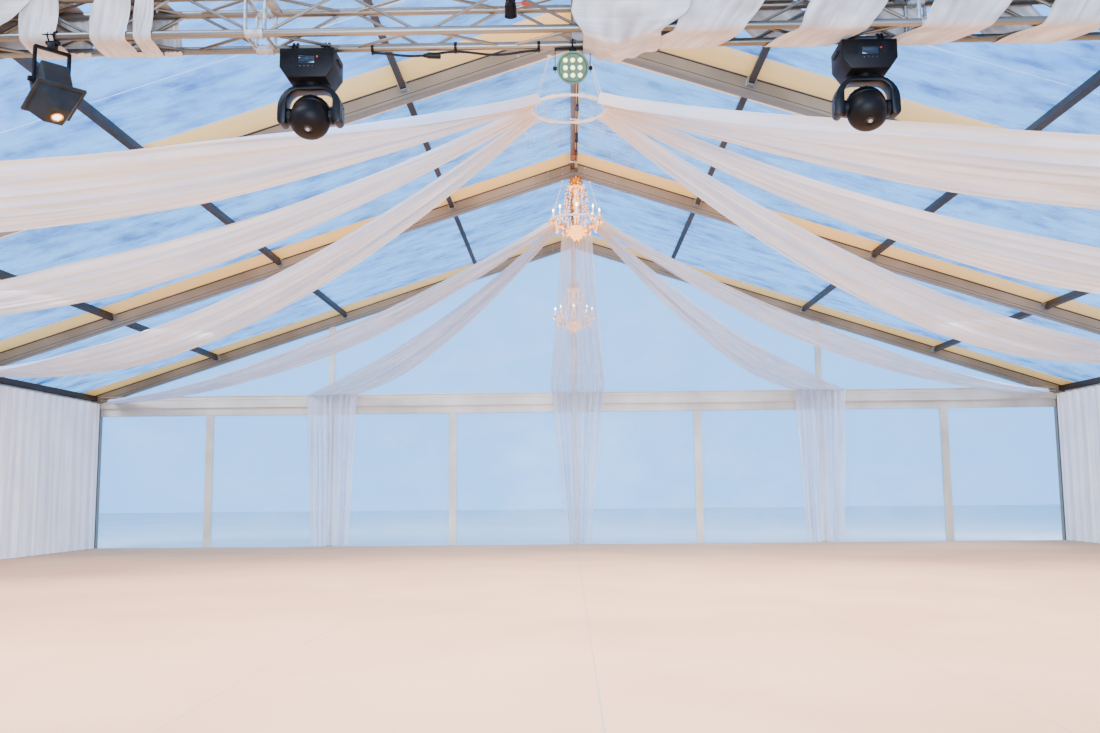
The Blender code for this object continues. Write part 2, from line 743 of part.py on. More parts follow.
def cloth(name, stations):
    """A strip of cloth through stations of (centre, sideways direction, width, cup)."""
    shape = bmesh.new()
    rows = []
    for centre, sideways, width, cup in stations:
        row = []
        for across in (-0.5, 0.0, 0.5):
            point = Vector(centre) + Vector(sideways) * across * width
            if across == 0.0:
                point.z -= cup
            row.append(shape.verts.new(point))
        rows.append(row)
    for first, second in zip(rows, rows[1:]):
        for left, right in ((0, 1), (1, 2)):
            shape.faces.new((first[left], first[right], second[right], second[left]))
    mesh = bpy.data.meshes.new(name)
    shape.to_mesh(mesh)
    shape.free()
    obj = add_object(name, mesh, VOILE)
    thickness = obj.modifiers.new("thickness", "SOLIDIFY")
    thickness.thickness = VOILE_THICK
    thickness.offset = -1
    return obj


def swag_stations(hoop_centre, end, start_width, spread, widest, end_width, sag, end_sideways):
    """Stations from the hoop's rim to the end point, which fan out, narrow again and turn to end_sideways."""
    centre = Vector((*hoop_centre, HOOP_HEIGHT))
    run = Vector((end[0] - centre.x, end[1] - centre.y, 0))
    along = run.normalized()
    sideways = Vector((along.y, -along.x, 0))
    start = centre + along * (HOOP_RADIUS + HOOP_TUBE_RADIUS + VOILE_THICK + GAP)
    finish = Vector(end)
    stations = []
    for i in range(SWAG_STATIONS + 1):
        t = i / SWAG_STATIONS
        point = start.lerp(finish, t)
        point.z -= 4 * sag * t * (1 - t)
        travelled = (finish - start).to_2d().length * t
        fan = start_width + spread * travelled
        left = min(1.0, (1 - t) / SWAG_NARROWING_SHARE)
        width = min(fan, end_width + (widest - end_width) * math.sqrt(left))
        cup = SWAG_CUP_SHARE * width * math.sin(math.pi * t)
        direction = sideways.lerp(end_sideways, t * t).normalized()
        stations.append((point, direction, width, cup))
    return stations


for side, side_name in ((-1, "left"), (1, "right")):
    for place_name, (frame_index, spread, widest, sag) in FRONT_SWAGS.items():
        end_z = rafter_underside(SWAG_END_X) - GAP
        end = (side * SWAG_END_X, FRAME_YS[frame_index], end_z)
        along_eave = Vector((0, -side, 0))
        widths = (EAVE_SWAG_START, spread, widest, EAVE_SWAG_END)
        stations = swag_stations(HOOP_FRONT, end, *widths, sag, along_eave)
        cloth(f"{side_name}_{place_name}_swag", stations)


def tail_stations(x, top_width, foot_width):
    """Stations of the cloth that hangs down in front of the gable beam."""
    top = BEAM_TOP - TAIL_TOP_BELOW_BEAM
    foot = FLOOR_TOP + TAIL_FOOT_CLEAR
    stations = []
    for i in range(TAIL_STATIONS):
        t = i / (TAIL_STATIONS - 1)
        width = top_width + (foot_width - top_width) * t
        stations.append(((x, BEAM_FACE_Y, top + (foot - top) * t), ALONG_BEAM, width, 0.0))
    return stations


BEAM_FACE_Y = HALF_LENGTH - BEAM_INNER_FACE - GAP
ALONG_BEAM = Vector((1, 0, 0))
for side, side_name in ((-1, "left"), (1, "right")):
    corner = (side * SWAG_END_X, BEAM_FACE_Y - EAVE_SWAG_END / 2, CORNER_SWAG_HEIGHT)
    along_eave = Vector((0, -side, 0))
    widths = (CORNER_SWAG_START, CORNER_SWAG_SPREAD, CORNER_SWAG_WIDEST, EAVE_SWAG_END)
    cloth(f"{side_name}_corner_swag", swag_stations(HOOP_BACK, corner, *widths, CORNER_SWAG_SAG, along_eave))
    gable_end = (side * GABLE_SWAG_X, BEAM_FACE_Y - SWAG_TO_BEAM, BEAM_TOP)
    widths = (CORNER_SWAG_START, GABLE_SWAG_SPREAD, GABLE_SWAG_WIDEST, GABLE_SWAG_END)
    stations = swag_stations(HOOP_BACK, gable_end, *widths, GABLE_SWAG_SAG, ALONG_BEAM)
    tail = tail_stations(side * GABLE_SWAG_X, GABLE_SWAG_END - TAIL_NARROWER, GABLE_TAIL_FOOT)
    cloth(f"{side_name}_gable_swag", stations + tail)
centre_end = (CENTRE_SWAG_X, BEAM_FACE_Y - SWAG_TO_BEAM, BEAM_TOP)
widths = (CENTRE_SWAG_START, CENTRE_SWAG_SPREAD, CENTRE_SWAG_WIDEST, CENTRE_SWAG_END)
stations = swag_stations(HOOP_BACK, centre_end, *widths, CENTRE_SWAG_SAG, ALONG_BEAM)
tail = tail_stations(CENTRE_SWAG_X, CENTRE_SWAG_END - TAIL_NARROWER, CENTRE_TAIL_FOOT)
cloth("centre_gable_swag", stations + tail)


# Chandeliers: a turned stem with eight arms, each with a cup and a candle lamp.


def chandelier(drop):
    """A chandelier about its own stem, with the cups' rims at Z = 0 and a rod that rises by drop."""
    stem = [
        (0.0, drop),
        (CANOPY_RADIUS, drop),
        (CANOPY_RADIUS * CANOPY_RIM_SHARE, drop - CANOPY_HEIGHT * CANOPY_RIM_DROP_SHARE),
        (ROD_RADIUS, drop - CANOPY_HEIGHT),
        (ROD_RADIUS, CROWN_HEIGHT),
        (CROWN_RADIUS, CROWN_HEIGHT - CROWN_DROP),
        (CROWN_NECK_RADIUS, CROWN_HEIGHT - CROWN_NECK_DROP),
        (STEM_RADIUS, CROWN_HEIGHT - CROWN_FOOT_DROP),
        (BALUSTER_RADIUS, CROWN_HEIGHT / 2),
        (STEM_RADIUS, CROWN_HEIGHT / 5),
        (SHOULDER_RADIUS, BOWL_HEIGHT + SHOULDER_RISE),
        (BOWL_RADIUS, BOWL_HEIGHT),
        (BOWL_FOOT_RADIUS, BOWL_HEIGHT - BOWL_FOOT_DROP),
        (BOWL_NECK_RADIUS, BOWL_HEIGHT - BOWL_NECK_DROP),
        (FINIAL_RADIUS, FINIAL_HEIGHT + FINIAL_ROUND),
        (0.0, FINIAL_HEIGHT),
    ]
    pieces = [turned(stem, STEM_STEPS)]
    reach = CANDLE_CIRCLE - ARM_ROOT_RADIUS
    route = [
        (ARM_ROOT_RADIUS, ARM_ROOT_HEIGHT),
        (ARM_ROOT_RADIUS + ARM_DIP_START_SHARE * reach, ARM_DIP_HEIGHT),
        (ARM_ROOT_RADIUS + ARM_DIP_END_SHARE * reach, ARM_DIP_HEIGHT + ARM_DIP_RISE),
        (ARM_ROOT_RADIUS + ARM_RISE_SHARE * reach, ARM_ROOT_HEIGHT),
        (CANDLE_CIRCLE, -CUP_HEIGHT / 2),
    ]
    for i in range(CHANDELIER_ARMS):
        angle = 2 * math.pi * i / CHANDELIER_ARMS
        outward = Vector((math.cos(angle), math.sin(angle), 0))
        pieces.append(tube([outward * radius + Vector((0, 0, z)) for radius, z in route], ARM_RADIUS))
        foot = outward * CANDLE_CIRCLE + Vector((0, 0, -CUP_HEIGHT))
        rim = foot + Vector((0, 0, CUP_HEIGHT))
        pieces.append(cylinder(foot, rim, CUP_RADIUS / 2, THIN_TUBE_SIDES, CUP_RADIUS))
        candle_foot = rim - Vector((0, 0, CANDLE_SEAT))
        candle_top = rim + Vector((0, 0, CANDLE_HEIGHT))
        pieces.append(cylinder(candle_foot, candle_top, CANDLE_RADIUS, THIN_TUBE_SIDES))
    return fused(pieces)


apex_underside = rafter_underside(CANOPY_RADIUS + abs(HOOP_BACK[0])) - GAP
ridge_underside = RIDGE_PURLIN_TOP - PURLIN_DEPTH - GAP
CHANDELIERS = {
    "front_chandelier": (*HOOP_BACK, FRONT_CHANDELIER_HEIGHT, apex_underside),
    "back_chandelier": (0.0, BACK_CHANDELIER_Y, BACK_CHANDELIER_HEIGHT, ridge_underside),
}
for lamp_name, (lamp_x, lamp_y, lamp_z, hook_z) in CHANDELIERS.items():
    smooth(add_object(lamp_name, chandelier(hook_z - lamp_z), GOLD, (lamp_x, lamp_y, lamp_z)))


# Lighting truss: four chords with zigzag bracing on each side, on drop wires from the purlins.


PURLIN_UNDERSIDE = COVER_UNDERSIDE + GAP + PURLIN_DEPTH


def hanging_x(x):
    """The middle of the underside of the purlin at x."""
    return x - math.copysign(PURLIN_UNDERSIDE * math.sin(ROOF_PITCH), x)


DROP_XS = [hanging_x(x) for x in (-PURLIN_XS[1], -PURLIN_XS[0], PURLIN_XS[0], PURLIN_XS[1])]


def truss():
    """The truss about its own middle line, with Z = 0 at the bottom chords."""
    corners = [(y, z) for z in (0, TRUSS_CHORD_SPACING) for y in (-TRUSS_HALF_SPACING, TRUSS_HALF_SPACING)]
    chords = []
    for y, z in corners:
        ends = ((-TRUSS_HALF_LENGTH, y, z), (TRUSS_HALF_LENGTH, y, z))
        chords.append(cylinder(*ends, TRUSS_CHORD_RADIUS, THIN_TUBE_SIDES))
    bars = []
    count = round(2 * TRUSS_HALF_LENGTH / TRUSS_ZIGZAG)
    for low, high in ((0, 2), (1, 3), (0, 1), (2, 3)):
        for i in range(count):
            first, last = (low, high) if i % 2 == 0 else (high, low)
            x = -TRUSS_HALF_LENGTH + i * TRUSS_ZIGZAG
            start = (x + TRUSS_ZIGZAG_INSET, *corners[first])
            finish = (x + TRUSS_ZIGZAG - TRUSS_ZIGZAG_INSET, *corners[last])
            bars.append(cylinder(start, finish, TRUSS_BAR_RADIUS, TRUSS_BAR_SIDES))
    for x in DROP_XS:
        reach = DROP_CLAMP_SIDE / 2
        top = below_roof(abs(x) + reach, PURLIN_UNDERSIDE) - GAP - TRUSS_BOTTOM
        bars.append(box((x - reach, -reach, top - DROP_CLAMP_HEIGHT), (x + reach, reach, top)))
        seat = TRUSS_CHORD_SPACING
        low = (x - reach, -TRUSS_HALF_SPACING, seat - DROP_SEAT_HALF)
        bars.append(box(low, (x + reach, TRUSS_HALF_SPACING, seat + DROP_SEAT_HALF)))
        drop_top = top - DROP_CLAMP_HEIGHT / 2
        bars.append(cylinder((x, 0, seat), (x, 0, drop_top), DROP_RADIUS, THIN_TUBE_SIDES))
    ties = [(x, TRUSS_HALF_SPACING, 0) for x in TRUSS_CABLE_XS]
    cable = tube(loops(*ties, TRUSS_CABLE_LOOPS, TRUSS_CABLE_SAG), CABLE_RADIUS)
    return fused([*chords, *bars, cable])


add_object("lighting_truss", truss(), SILVER, (0, TRUSS_Y, TRUSS_BOTTOM))


# Cloth wound round the truss, left open where wires and lamp clamps pass.


WRAP_INNER = TRUSS_HALF_SPACING + TRUSS_CHORD_RADIUS + GAP


def wrap_body(x_low, x_high, thick, drop=0.0):
    """A block round the truss, of a thickness that is greater by drop on the underside."""
    outer = WRAP_INNER + thick
    middle = TRUSS_HALF_SPACING
    return box((x_low, -outer, middle - outer - drop), (x_high, outer, middle + outer))


def opened(body, x_low, x_high, holes):
    """The block with room for the truss, and for what passes through it."""
    reach = Vector((WRAP_INNER, WRAP_INNER, WRAP_INNER))
    low = Vector((x_low, 0, TRUSS_HALF_SPACING)) - reach
    high = Vector((x_high, 0, TRUSS_HALF_SPACING)) + reach
    return cut(body, [fused([box(low, high), *holes])])


def wrap_hole(x, half_width, upward):
    """A cutter for what passes up, or down, through a wrap at x."""
    middle = TRUSS_HALF_SPACING
    far = TRUSS_CHORD_SPACING if upward else -TRUSS_CHORD_SPACING
    ends = sorted((middle, middle + far))
    reach = WRAP_INNER + WRAP_THICK / 2
    return box((x - half_width, -reach, ends[0]), (x + half_width, reach, ends[1]))


drop_half = DROP_CLAMP_SIDE / 2 + WRAP_HOLE_CLEAR
flood_half = YOKE_CLAMP_SIDE / 2 + WRAP_HOLE_CLEAR
head_half = CLAMP_BAR_OFFSET + CLAMP_BAR_WIDTH / 2 + WRAP_HOLE_CLEAR
truss_place = (0, TRUSS_Y, TRUSS_BOTTOM)
left_holes = [wrap_hole(DROP_XS[0], drop_half, True), wrap_hole(FLOOD_X, flood_half, False)]
right_holes = [
    wrap_hole(DROP_XS[2], drop_half, True),
    wrap_hole(DROP_XS[3], drop_half, True),
    wrap_hole(HEAD_LAMP_X, head_half, False),
]
left_wrap = opened(wrap_body(*WRAP_LEFT, WRAP_THICK), *WRAP_LEFT, left_holes)
add_object("left_truss_wrap", left_wrap, VOILE, truss_place)
bunch = wrap_body(WRAP_RIGHT[0], WRAP_RIGHT[0] + BUNCH_WIDTH, BUNCH_THICK, BUNCH_DROP - BUNCH_THICK)
right_body = fused([bunch, wrap_body(WRAP_RIGHT[0] + BUNCH_WIDTH / 2, WRAP_RIGHT[1], WRAP_THICK)])
add_object("right_truss_wrap", opened(right_body, *WRAP_RIGHT, right_holes), VOILE, truss_place)


# Lamps. Each moving piece has its origin on its joint's axis.


def u_yoke(width, arm, depth, up, down, bar, corner):
    """A U-shaped yoke about its pivot: arms at the sides, a bar across the top, and cut corners."""
    half = width / 2
    inner = corner * YOKE_INNER_CORNER_SHARE
    points = [
        (-half, -down),
        (-half + arm, -down),
        (-half + arm, up - bar - inner),
        (-half + arm + inner, up - bar),
        (half - arm - inner, up - bar),
        (half - arm, up - bar - inner),
        (half - arm, -down),
        (half, -down),
        (half, up - corner),
        (half - corner, up),
        (-half + corner, up),
        (-half, up - corner),
    ]
    return outline(points, -depth / 2, depth / 2)


def moving_head(side_name, x):
    """A moving-head lamp: a base under the truss's far chord, a yoke that pans and a head that tilts."""
    width, depth, height = HEAD_BASE
    bottom = HEAD_BASE_TOP - height
    lamp_y = TRUSS_Y + TRUSS_HALF_SPACING
    points = [
        (-width / 2, 0),
        (-width / 2, HEAD_BASE_TAPER_HEIGHT - height),
        (-width / 2 + HEAD_BASE_TAPER, -height),
        (width / 2 - HEAD_BASE_TAPER, -height),
        (width / 2, HEAD_BASE_TAPER_HEIGHT - height),
        (width / 2, 0),
    ]
    pieces = [outline(points, -depth / 2, depth / 2)]
    for end in (-1, 1):
        low = (end * CLAMP_BAR_OFFSET - CLAMP_BAR_WIDTH / 2, -CLAMP_BAR_WIDTH / 2, -CLAMP_BAR_SINK)
        rise = TRUSS_UNDERSIDE - HEAD_BASE_TOP - GAP
        high = (end * CLAMP_BAR_OFFSET + CLAMP_BAR_WIDTH / 2, CLAMP_BAR_WIDTH / 2, rise)
        pieces.append(box(low, high))
    add_object(f"{side_name}_lamp_base", fused(pieces), BLACK, (x, lamp_y, HEAD_BASE_TOP))
    pan = bpy.data.objects.new(f"{side_name}_pan_axis", None)
    pan.location = (x, lamp_y, bottom)
    parts.objects.link(pan)
    up = HEAD_PIVOT_DROP + HEAD_YOKE_BAR
    pivot_z = -HEAD_PAN_CLEAR - up
    arms = (HEAD_YOKE_WIDTH, HEAD_YOKE_ARM, HEAD_YOKE_DEPTH)
    yoke_mesh = u_yoke(*arms, up, HEAD_ARM_BELOW_PIVOT, HEAD_YOKE_BAR, HEAD_YOKE_CORNER)
    spindle_top = up + HEAD_PAN_CLEAR - GAP
    spindle = cylinder((0, 0, up - SPINDLE_SINK), (0, 0, spindle_top), HEAD_SPINDLE_RADIUS, HEAD_STEPS)
    yoke_mesh = moved(fused([yoke_mesh, spindle]), Matrix.Translation((0, 0, pivot_z)))
    yoke = add_object(f"{side_name}_lamp_yoke", yoke_mesh, BLACK)
    yoke.parent = pan
    profile = [
        (0.0, HEAD_BACK),
        (HEAD_CAP_RADIUS, HEAD_BACK),
        (HEAD_SHOULDER_RADIUS, HEAD_BACK * HEAD_SHOULDER_SHARE),
        (HEAD_RADIUS, HEAD_BACK * HEAD_WAIST_SHARE),
        (HEAD_RADIUS, -HEAD_FRONT * HEAD_RIM_SHARE),
        (HEAD_DOME_RADIUS, -HEAD_FRONT * HEAD_DOME_SHARE),
        (HEAD_LENS_RADIUS, -HEAD_FRONT),
        (0.0, -HEAD_FRONT),
    ]
    arm_face = HEAD_YOKE_WIDTH / 2 - HEAD_YOKE_ARM
    pin = cylinder((-arm_face + GAP, 0, 0), (arm_face - GAP, 0, 0), TRUNNION_RADIUS, TRUNNION_SIDES)
    head = add_object(f"{side_name}_lamp_head", fused([turned(profile, HEAD_STEPS), pin]), BLACK)
    head.parent = pan
    head.location = (0, 0, pivot_z)
    head.rotation_euler = (-HEAD_TILT, 0, 0)
    return smooth(head)


moving_head("left", -HEAD_LAMP_X)
moving_head("right", HEAD_LAMP_X)


def hung_lamp(name, place, width, yoke, body_mesh, tilt, turn=0.0):
    """A lamp that tilts in a fixed yoke, which is turned on its clamp on the chord over the pivot.

    The yoke is given as the thickness of its arms, its depth, and its reach over and under the pivot.
    """
    arm, depth, up, down = yoke
    yoke_mesh = u_yoke(width + 2 * (arm + YOKE_SIDE_CLEAR), arm, depth, up, down, arm, arm / 2)
    clamp_foot = up - arm / 2
    clamp_top = TRUSS_UNDERSIDE - place[2] - GAP
    clamp_size = (YOKE_CLAMP_SIDE, YOKE_CLAMP_SIDE, clamp_top - clamp_foot)
    clamp = centred_box(clamp_size, (0, 0, (clamp_top + clamp_foot) / 2))
    clamp = moved(clamp, Matrix.Rotation(-turn, 4, "Z"))
    add_object(f"{name}_yoke", fused([yoke_mesh, clamp]), BLACK, place, (0, 0, turn))
    half = width / 2 + YOKE_SIDE_CLEAR - GAP
    pin = cylinder((-half, 0, 0), (half, 0, 0), YOKE_PIN_RADIUS, YOKE_PIN_SIDES)
    body = add_object(f"{name}_body", fused([body_mesh, pin]), BLACK, place, (-tilt, 0, turn))
    return smooth(body)


def flood_body():
    """The flood lamp about its pivot: a box, a flange round its front, and a nose that tapers to the lens."""
    flange_back = FLOOD_BACK - FLOOD_BODY[2]
    flange_front = flange_back - FLOOD_FLANGE[2]
    nose_tip = flange_front - FLOOD_NOSE_LENGTH
    case = centred_box(FLOOD_BODY, (0, 0, FLOOD_BACK - FLOOD_BODY[2] / 2))
    flange = centred_box(FLOOD_FLANGE, (0, 0, flange_back - FLOOD_FLANGE[2] / 2))
    nose = centred_box((*FLOOD_NOSE_ROOT, flange_back - nose_tip), (0, 0, (flange_back + nose_tip) / 2))
    taper = [tip / root for tip, root in zip(FLOOD_NOSE_TIP, FLOOD_NOSE_ROOT)]
    for vert in nose.vertices:
        if vert.co.z < flange_front:
            vert.co.x *= taper[0]
            vert.co.y *= taper[1]
    lens_end = (0, 0, nose_tip - FLOOD_LENS_LENGTH)
    lens = cylinder((0, 0, flange_front), lens_end, FLOOD_LENS_RADIUS, ROUND_SIDES)
    return fused([case, flange, nose, lens])


flood_place = (FLOOD_X, TRUSS_Y - TRUSS_HALF_SPACING, FLOOD_PIVOT)
flood_yoke = (FLOOD_YOKE_ARM, FLOOD_YOKE_DEPTH, FLOOD_YOKE_REACH, FLOOD_YOKE_BELOW_PIVOT)
hung_lamp("flood", flood_place, FLOOD_BODY[0], flood_yoke, flood_body(), FLOOD_TILT, FLOOD_TURN)

par_mesh = cylinder((0, 0, PAR_LENGTH / 2), (0, 0, -PAR_LENGTH / 2), PAR_RADIUS, ROUND_SIDES)
par_place = (PAR_X, TRUSS_Y + TRUSS_HALF_SPACING, PAR_PIVOT)
par_yoke = (PAR_YOKE_ARM, PAR_YOKE_DEPTH, PAR_YOKE_REACH, YOKE_CLAMP_SIDE / 2)
hung_lamp("par", par_place, 2 * PAR_RADIUS, par_yoke, par_mesh, PAR_TILT)
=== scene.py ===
"""Dresses the clear-roofed marquee: its finishes, cloth, lamps and small fittings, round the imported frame.

X runs across the tent, Y along it towards the closed gable and Z up, in metres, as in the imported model.
"""

import logging
import math
import random
from collections.abc import Callable, Mapping, Sequence
from dataclasses import dataclass, field, replace
from enum import Enum

import bmesh
import bpy
from mathutils import Matrix, Vector


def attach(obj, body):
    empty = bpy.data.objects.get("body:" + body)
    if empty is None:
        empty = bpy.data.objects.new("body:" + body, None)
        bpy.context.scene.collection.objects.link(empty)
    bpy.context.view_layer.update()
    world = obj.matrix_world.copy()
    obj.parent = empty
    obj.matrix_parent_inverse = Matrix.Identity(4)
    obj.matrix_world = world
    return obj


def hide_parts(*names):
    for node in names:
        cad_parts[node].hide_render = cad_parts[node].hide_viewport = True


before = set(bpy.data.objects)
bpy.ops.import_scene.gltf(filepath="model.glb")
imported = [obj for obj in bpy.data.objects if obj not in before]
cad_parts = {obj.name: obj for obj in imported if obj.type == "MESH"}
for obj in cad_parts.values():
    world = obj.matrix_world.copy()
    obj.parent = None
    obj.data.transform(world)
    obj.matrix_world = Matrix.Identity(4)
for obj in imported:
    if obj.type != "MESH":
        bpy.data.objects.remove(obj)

LOG = logging.getLogger("marquee")
TURN = 2 * math.pi
SIDES = (-1, 1)
Point = Sequence[float]
Pair = tuple[float, float]
Triple = tuple[float, float, float]
BMesh = bmesh.types.BMesh
Place = Callable[[float, float], Vector]
Socket = bpy.types.NodeSocket


class Slot(Enum):
    """The record's material slots, passed along with each piece."""

    FRAME = "frame_aluminium"
    PURLIN = "purlin_aluminium"
    CLEAR = "clear_sheet"
    SHEETING = "white_sheeting"
    VOILE = "white_voile"
    CARPET = "beige_carpet"
    GILT = "gilt_metal"
    WHITE = "white_enamel"
    TRUSS = "truss_aluminium"
    BLACK = "black_enamel"


class Held(Enum):
    """The ways in which a sheet of cloth is held."""

    GATHERED = "gathered"
    DRAPED = "draped"
    LAID = "laid"
    STRETCHED = "stretched"


@dataclass(frozen=True)
class Roof:
    """The portal line that the roof's pieces follow."""

    half_span: float = 10.0
    leg_inner: float = 9.76
    eave: float = 3.15
    pitch: float = math.radians(18.0)
    profile_depth: float = 0.24
    profile_half: float = 0.06
    gable_y: float = 12.5
    frame_ys: tuple[float, ...] = (-12.5, -7.5, -2.5, 2.5, 7.5, 12.5)
    half_bay: float = 2.4395
    purlin_xs: tuple[float, ...] = (2.0, 4.75, 7.4)
    cover_drop: float = 0.035
    gap: float = 0.0003

    def below(self, x: float, depth: float = 0.0) -> float:
        """The height of the line that lies depth under the rafters' top edge, square to the slope."""
        return self.eave + (self.half_span - abs(x)) * math.tan(self.pitch) - depth / math.cos(self.pitch)

    def bays(self) -> list[float]:
        """The middle of each bay along Y."""
        return [(a + b) / 2 for a, b in zip(self.frame_ys, self.frame_ys[1:])]

    def faces(self) -> list[tuple[float, int]]:
        """The Y and direction of each portal face that looks into a bay."""
        both = [(y + face * self.profile_half, face) for y in self.frame_ys for face in SIDES]
        return both[1:-1]


ROOF = Roof()


def linear(code: str) -> tuple[float, float, float, float]:
    """Turns an sRGB hex colour, "#rrggbb", into linear light with a full alpha."""
    levels = [int(code[i : i + 2], 16) / 255 for i in (1, 3, 5)]
    return (*(v / 12.92 if v <= 0.04045 else ((v + 0.055) / 1.055) ** 2.4 for v in levels), 1.0)


def shift(x: float, y: float, z: float) -> Matrix:
    """A move without a turn."""
    return Matrix.Translation((x, y, z))


def spin(angle: float, axis: str) -> Matrix:
    """A turn about an axis."""
    return Matrix.Rotation(angle, 4, axis)


def mm(*numbers: float) -> list[Pair]:
    """Pairs of metres from numbers in millimetres."""
    return [(a / 1000, b / 1000) for a, b in zip(numbers[::2], numbers[1::2])]


def draw(seed: int, count: int) -> list[float]:
    """Phases drawn for a pattern."""
    chance = random.Random(seed)
    return [chance.uniform(0, TURN) for _ in range(count)]


def fade(share: float, power: int) -> float:
    """One over most of a sheet, and nothing at its edges."""
    return max(0.0, 1 - (abs(share - 0.5) * 2) ** power)


def length_of(points: Sequence[Vector]) -> float:
    """The length of a line of points."""
    return sum((b - a).length for a, b in zip(points, points[1:]))


def slack(start: Point, run: Point, steps: int, drop: float) -> list[Vector]:
    """Points of a cable that hangs in two equal loops between its ties, from its start along a run."""
    (x, y, z), (across, along) = start, run
    return [
        Vector((x + across * i / steps, y + along * i / steps, z - drop * math.sin(math.pi * i * 2 / steps) ** 2))
        for i in range(steps + 1)
    ]


class Nodes:
    """A material's node tree, with short ways to add what the finishes need."""

    def __init__(self, tree: bpy.types.NodeTree) -> None:
        """Takes the tree up with its own shader."""
        self.tree = tree
        self.shader = tree.nodes["Principled BSDF"]

    def fill(self, node: bpy.types.Node, feeds: Mapping) -> None:
        """Gives each named or numbered input of a node a value, or another node's output."""
        for key, value in feeds.items():
            if isinstance(value, Socket):
                self.tree.links.new(value, node.inputs[key])
            else:
                node.inputs[key].default_value = value

    def add(self, kind: str, feeds: Mapping, output: int = 0, **settings: object) -> Socket:
        """Adds a node.

        Args:
            kind: The node's type, without the prefix that all share.
            feeds: A value, or another node's output, for each input.
            output: Which of its outputs is wanted.
            settings: The node's own properties.

        Returns:
            The output.
        """
        node = self.tree.nodes.new("ShaderNode" + kind)
        for name, value in settings.items():
            setattr(node, name, value)
        self.fill(node, feeds)
        return node.outputs[output]

    def shade(self, feeds: Mapping) -> None:
        """Sets or links the shader's own inputs."""
        self.fill(self.shader, feeds)

    def colour(self) -> Socket:
        """What is linked to the shader's colour so far."""
        return self.shader.inputs["Base Color"].links[0].from_socket

    def sum(self, operation: str, *values: Socket | float) -> Socket:
        """Works out one value from others."""
        return self.add("Math", dict(enumerate(values)), operation=operation)

    def mix(self, share: Socket, first: Socket | Sequence[float], second: str) -> Socket:
        """Lets a hex colour take over a colour by a share."""
        return self.add("Mix", {0: share, 6: first, 7: linear(second)}, 2, data_type="RGBA")

    def remap(self, value: Socket, *limits: float) -> Socket:
        """Maps the range between the first two limits to 0 to 1, or to the last two."""
        return self.add("MapRange", dict(enumerate((value, *limits))))

    def noise(self, place: Socket, scale: float, detail: float, roughness: float = 0.5) -> Socket:
        """Adds cloudy noise."""
        feeds = {"Vector": place, "Scale": scale, "Detail": detail, "Roughness": roughness}
        return self.add("TexNoise", feeds)

    def here(self) -> Socket:
        """The object's own coordinates."""
        return self.add("TexCoord", {}, 3)

    def stretched(self, place: Socket, scale: Point) -> Socket:
        """Coordinates that are scaled along each axis."""
        return self.add("Mapping", {"Vector": place, "Scale": scale})

    def axis(self, place: Socket, number: int) -> Socket:
        """One axis of coordinates."""
        return self.add("SeparateXYZ", {0: place}, number)


@dataclass(frozen=True)
class Finish:
    """A finish with cloudy colour, uneven gloss and a fine relief. Sizes are in millimetres."""

    name: str
    colour: str
    shade: str
    roughness: float
    metallic: float = 0.0
    cloud_mm: float = 400.0
    grain_mm: float = 4.0
    relief_mm: float = 0.2
    stretch: Triple = (1.0, 1.0, 1.0)
    coat: float = 0.0
    sheen: float = 0.0
    gloss: float = 0.5

    def build(self) -> bpy.types.Material:
        """Makes the material."""
        material = bpy.data.materials.new(self.name)
        material.use_nodes = True
        material.diffuse_color = linear(self.colour)
        # The glows are too faint or small to light the tent, so they aren't sampled as lamps.
        material.cycles.emission_sampling = "NONE"
        nodes = Nodes(material.node_tree)
        nodes.shade({"Metallic": self.metallic, "Specular IOR Level": self.gloss})
        nodes.shade({"Coat Weight": self.coat, "Sheen Weight": self.sheen})
        self.dress(nodes)
        return material

    def place(self, nodes: Nodes) -> Socket:
        """The coordinates that the patterns read, stretched along the surface's making."""
        return nodes.stretched(nodes.here(), self.stretch)

    def tint(self, nodes: Nodes, place: Socket) -> Socket:
        """The colour, which wanders between the finish's two colours."""
        clouds = nodes.noise(place, 1000 / self.cloud_mm, 2.0)
        return nodes.mix(nodes.remap(clouds, 0.35, 0.68), linear(self.colour), self.shade)

    def relief(self, nodes: Nodes, place: Socket) -> Socket:
        """The height of the surface's grain."""
        return nodes.noise(place, 1000 / self.grain_mm, 1.0)

    def dress(self, nodes: Nodes) -> Socket:
        """Links the patterns to the shader, and gives the relief's height."""
        place = self.place(nodes)
        height = self.relief(nodes, place)
        low, high = max(0.03, self.roughness - 0.08), min(1.0, self.roughness + 0.08)
        bump = {"Height": height, "Strength": 0.5, "Distance": self.relief_mm / 1000}
        gloss = nodes.remap(height, 0.0, 1.0, low, high)
        nodes.shade({"Base Color": self.tint(nodes, place), "Roughness": gloss, "Normal": nodes.add("Bump", bump)})
        return height


@dataclass(frozen=True)
class PortalFinish(Finish):
    """Anodised box profile with dark keder grooves under the covers and lower down, and a darker lip at its foot."""

    groove: str = "#12100e"
    lip: str = "#7d7262"

    def tint(self, nodes: Nodes, place: Socket) -> Socket:
        """The anodised colour with the grooves' lines, at their depth under the portal's outer line."""
        base = super().tint(nodes, place)
        here = nodes.here()
        from_leg = nodes.sum("SUBTRACT", ROOF.half_span, nodes.sum("ABSOLUTE", nodes.axis(here, 0)))
        roof = nodes.sum("MULTIPLY_ADD", from_leg, math.sin(ROOF.pitch), ROOF.eave * math.cos(ROOF.pitch))
        from_roof = nodes.sum("MULTIPLY_ADD", nodes.axis(here, 2), -math.cos(ROOF.pitch), roof)
        depth = nodes.sum("MINIMUM", from_roof, from_leg)
        for colour, *band in ((self.groove, 0.051, 0.009), (self.groove, 0.182, 0.0035), (self.lip, 0.228, 0.012)):
            base = nodes.mix(nodes.sum("COMPARE", depth, *band), base, colour)
        return base


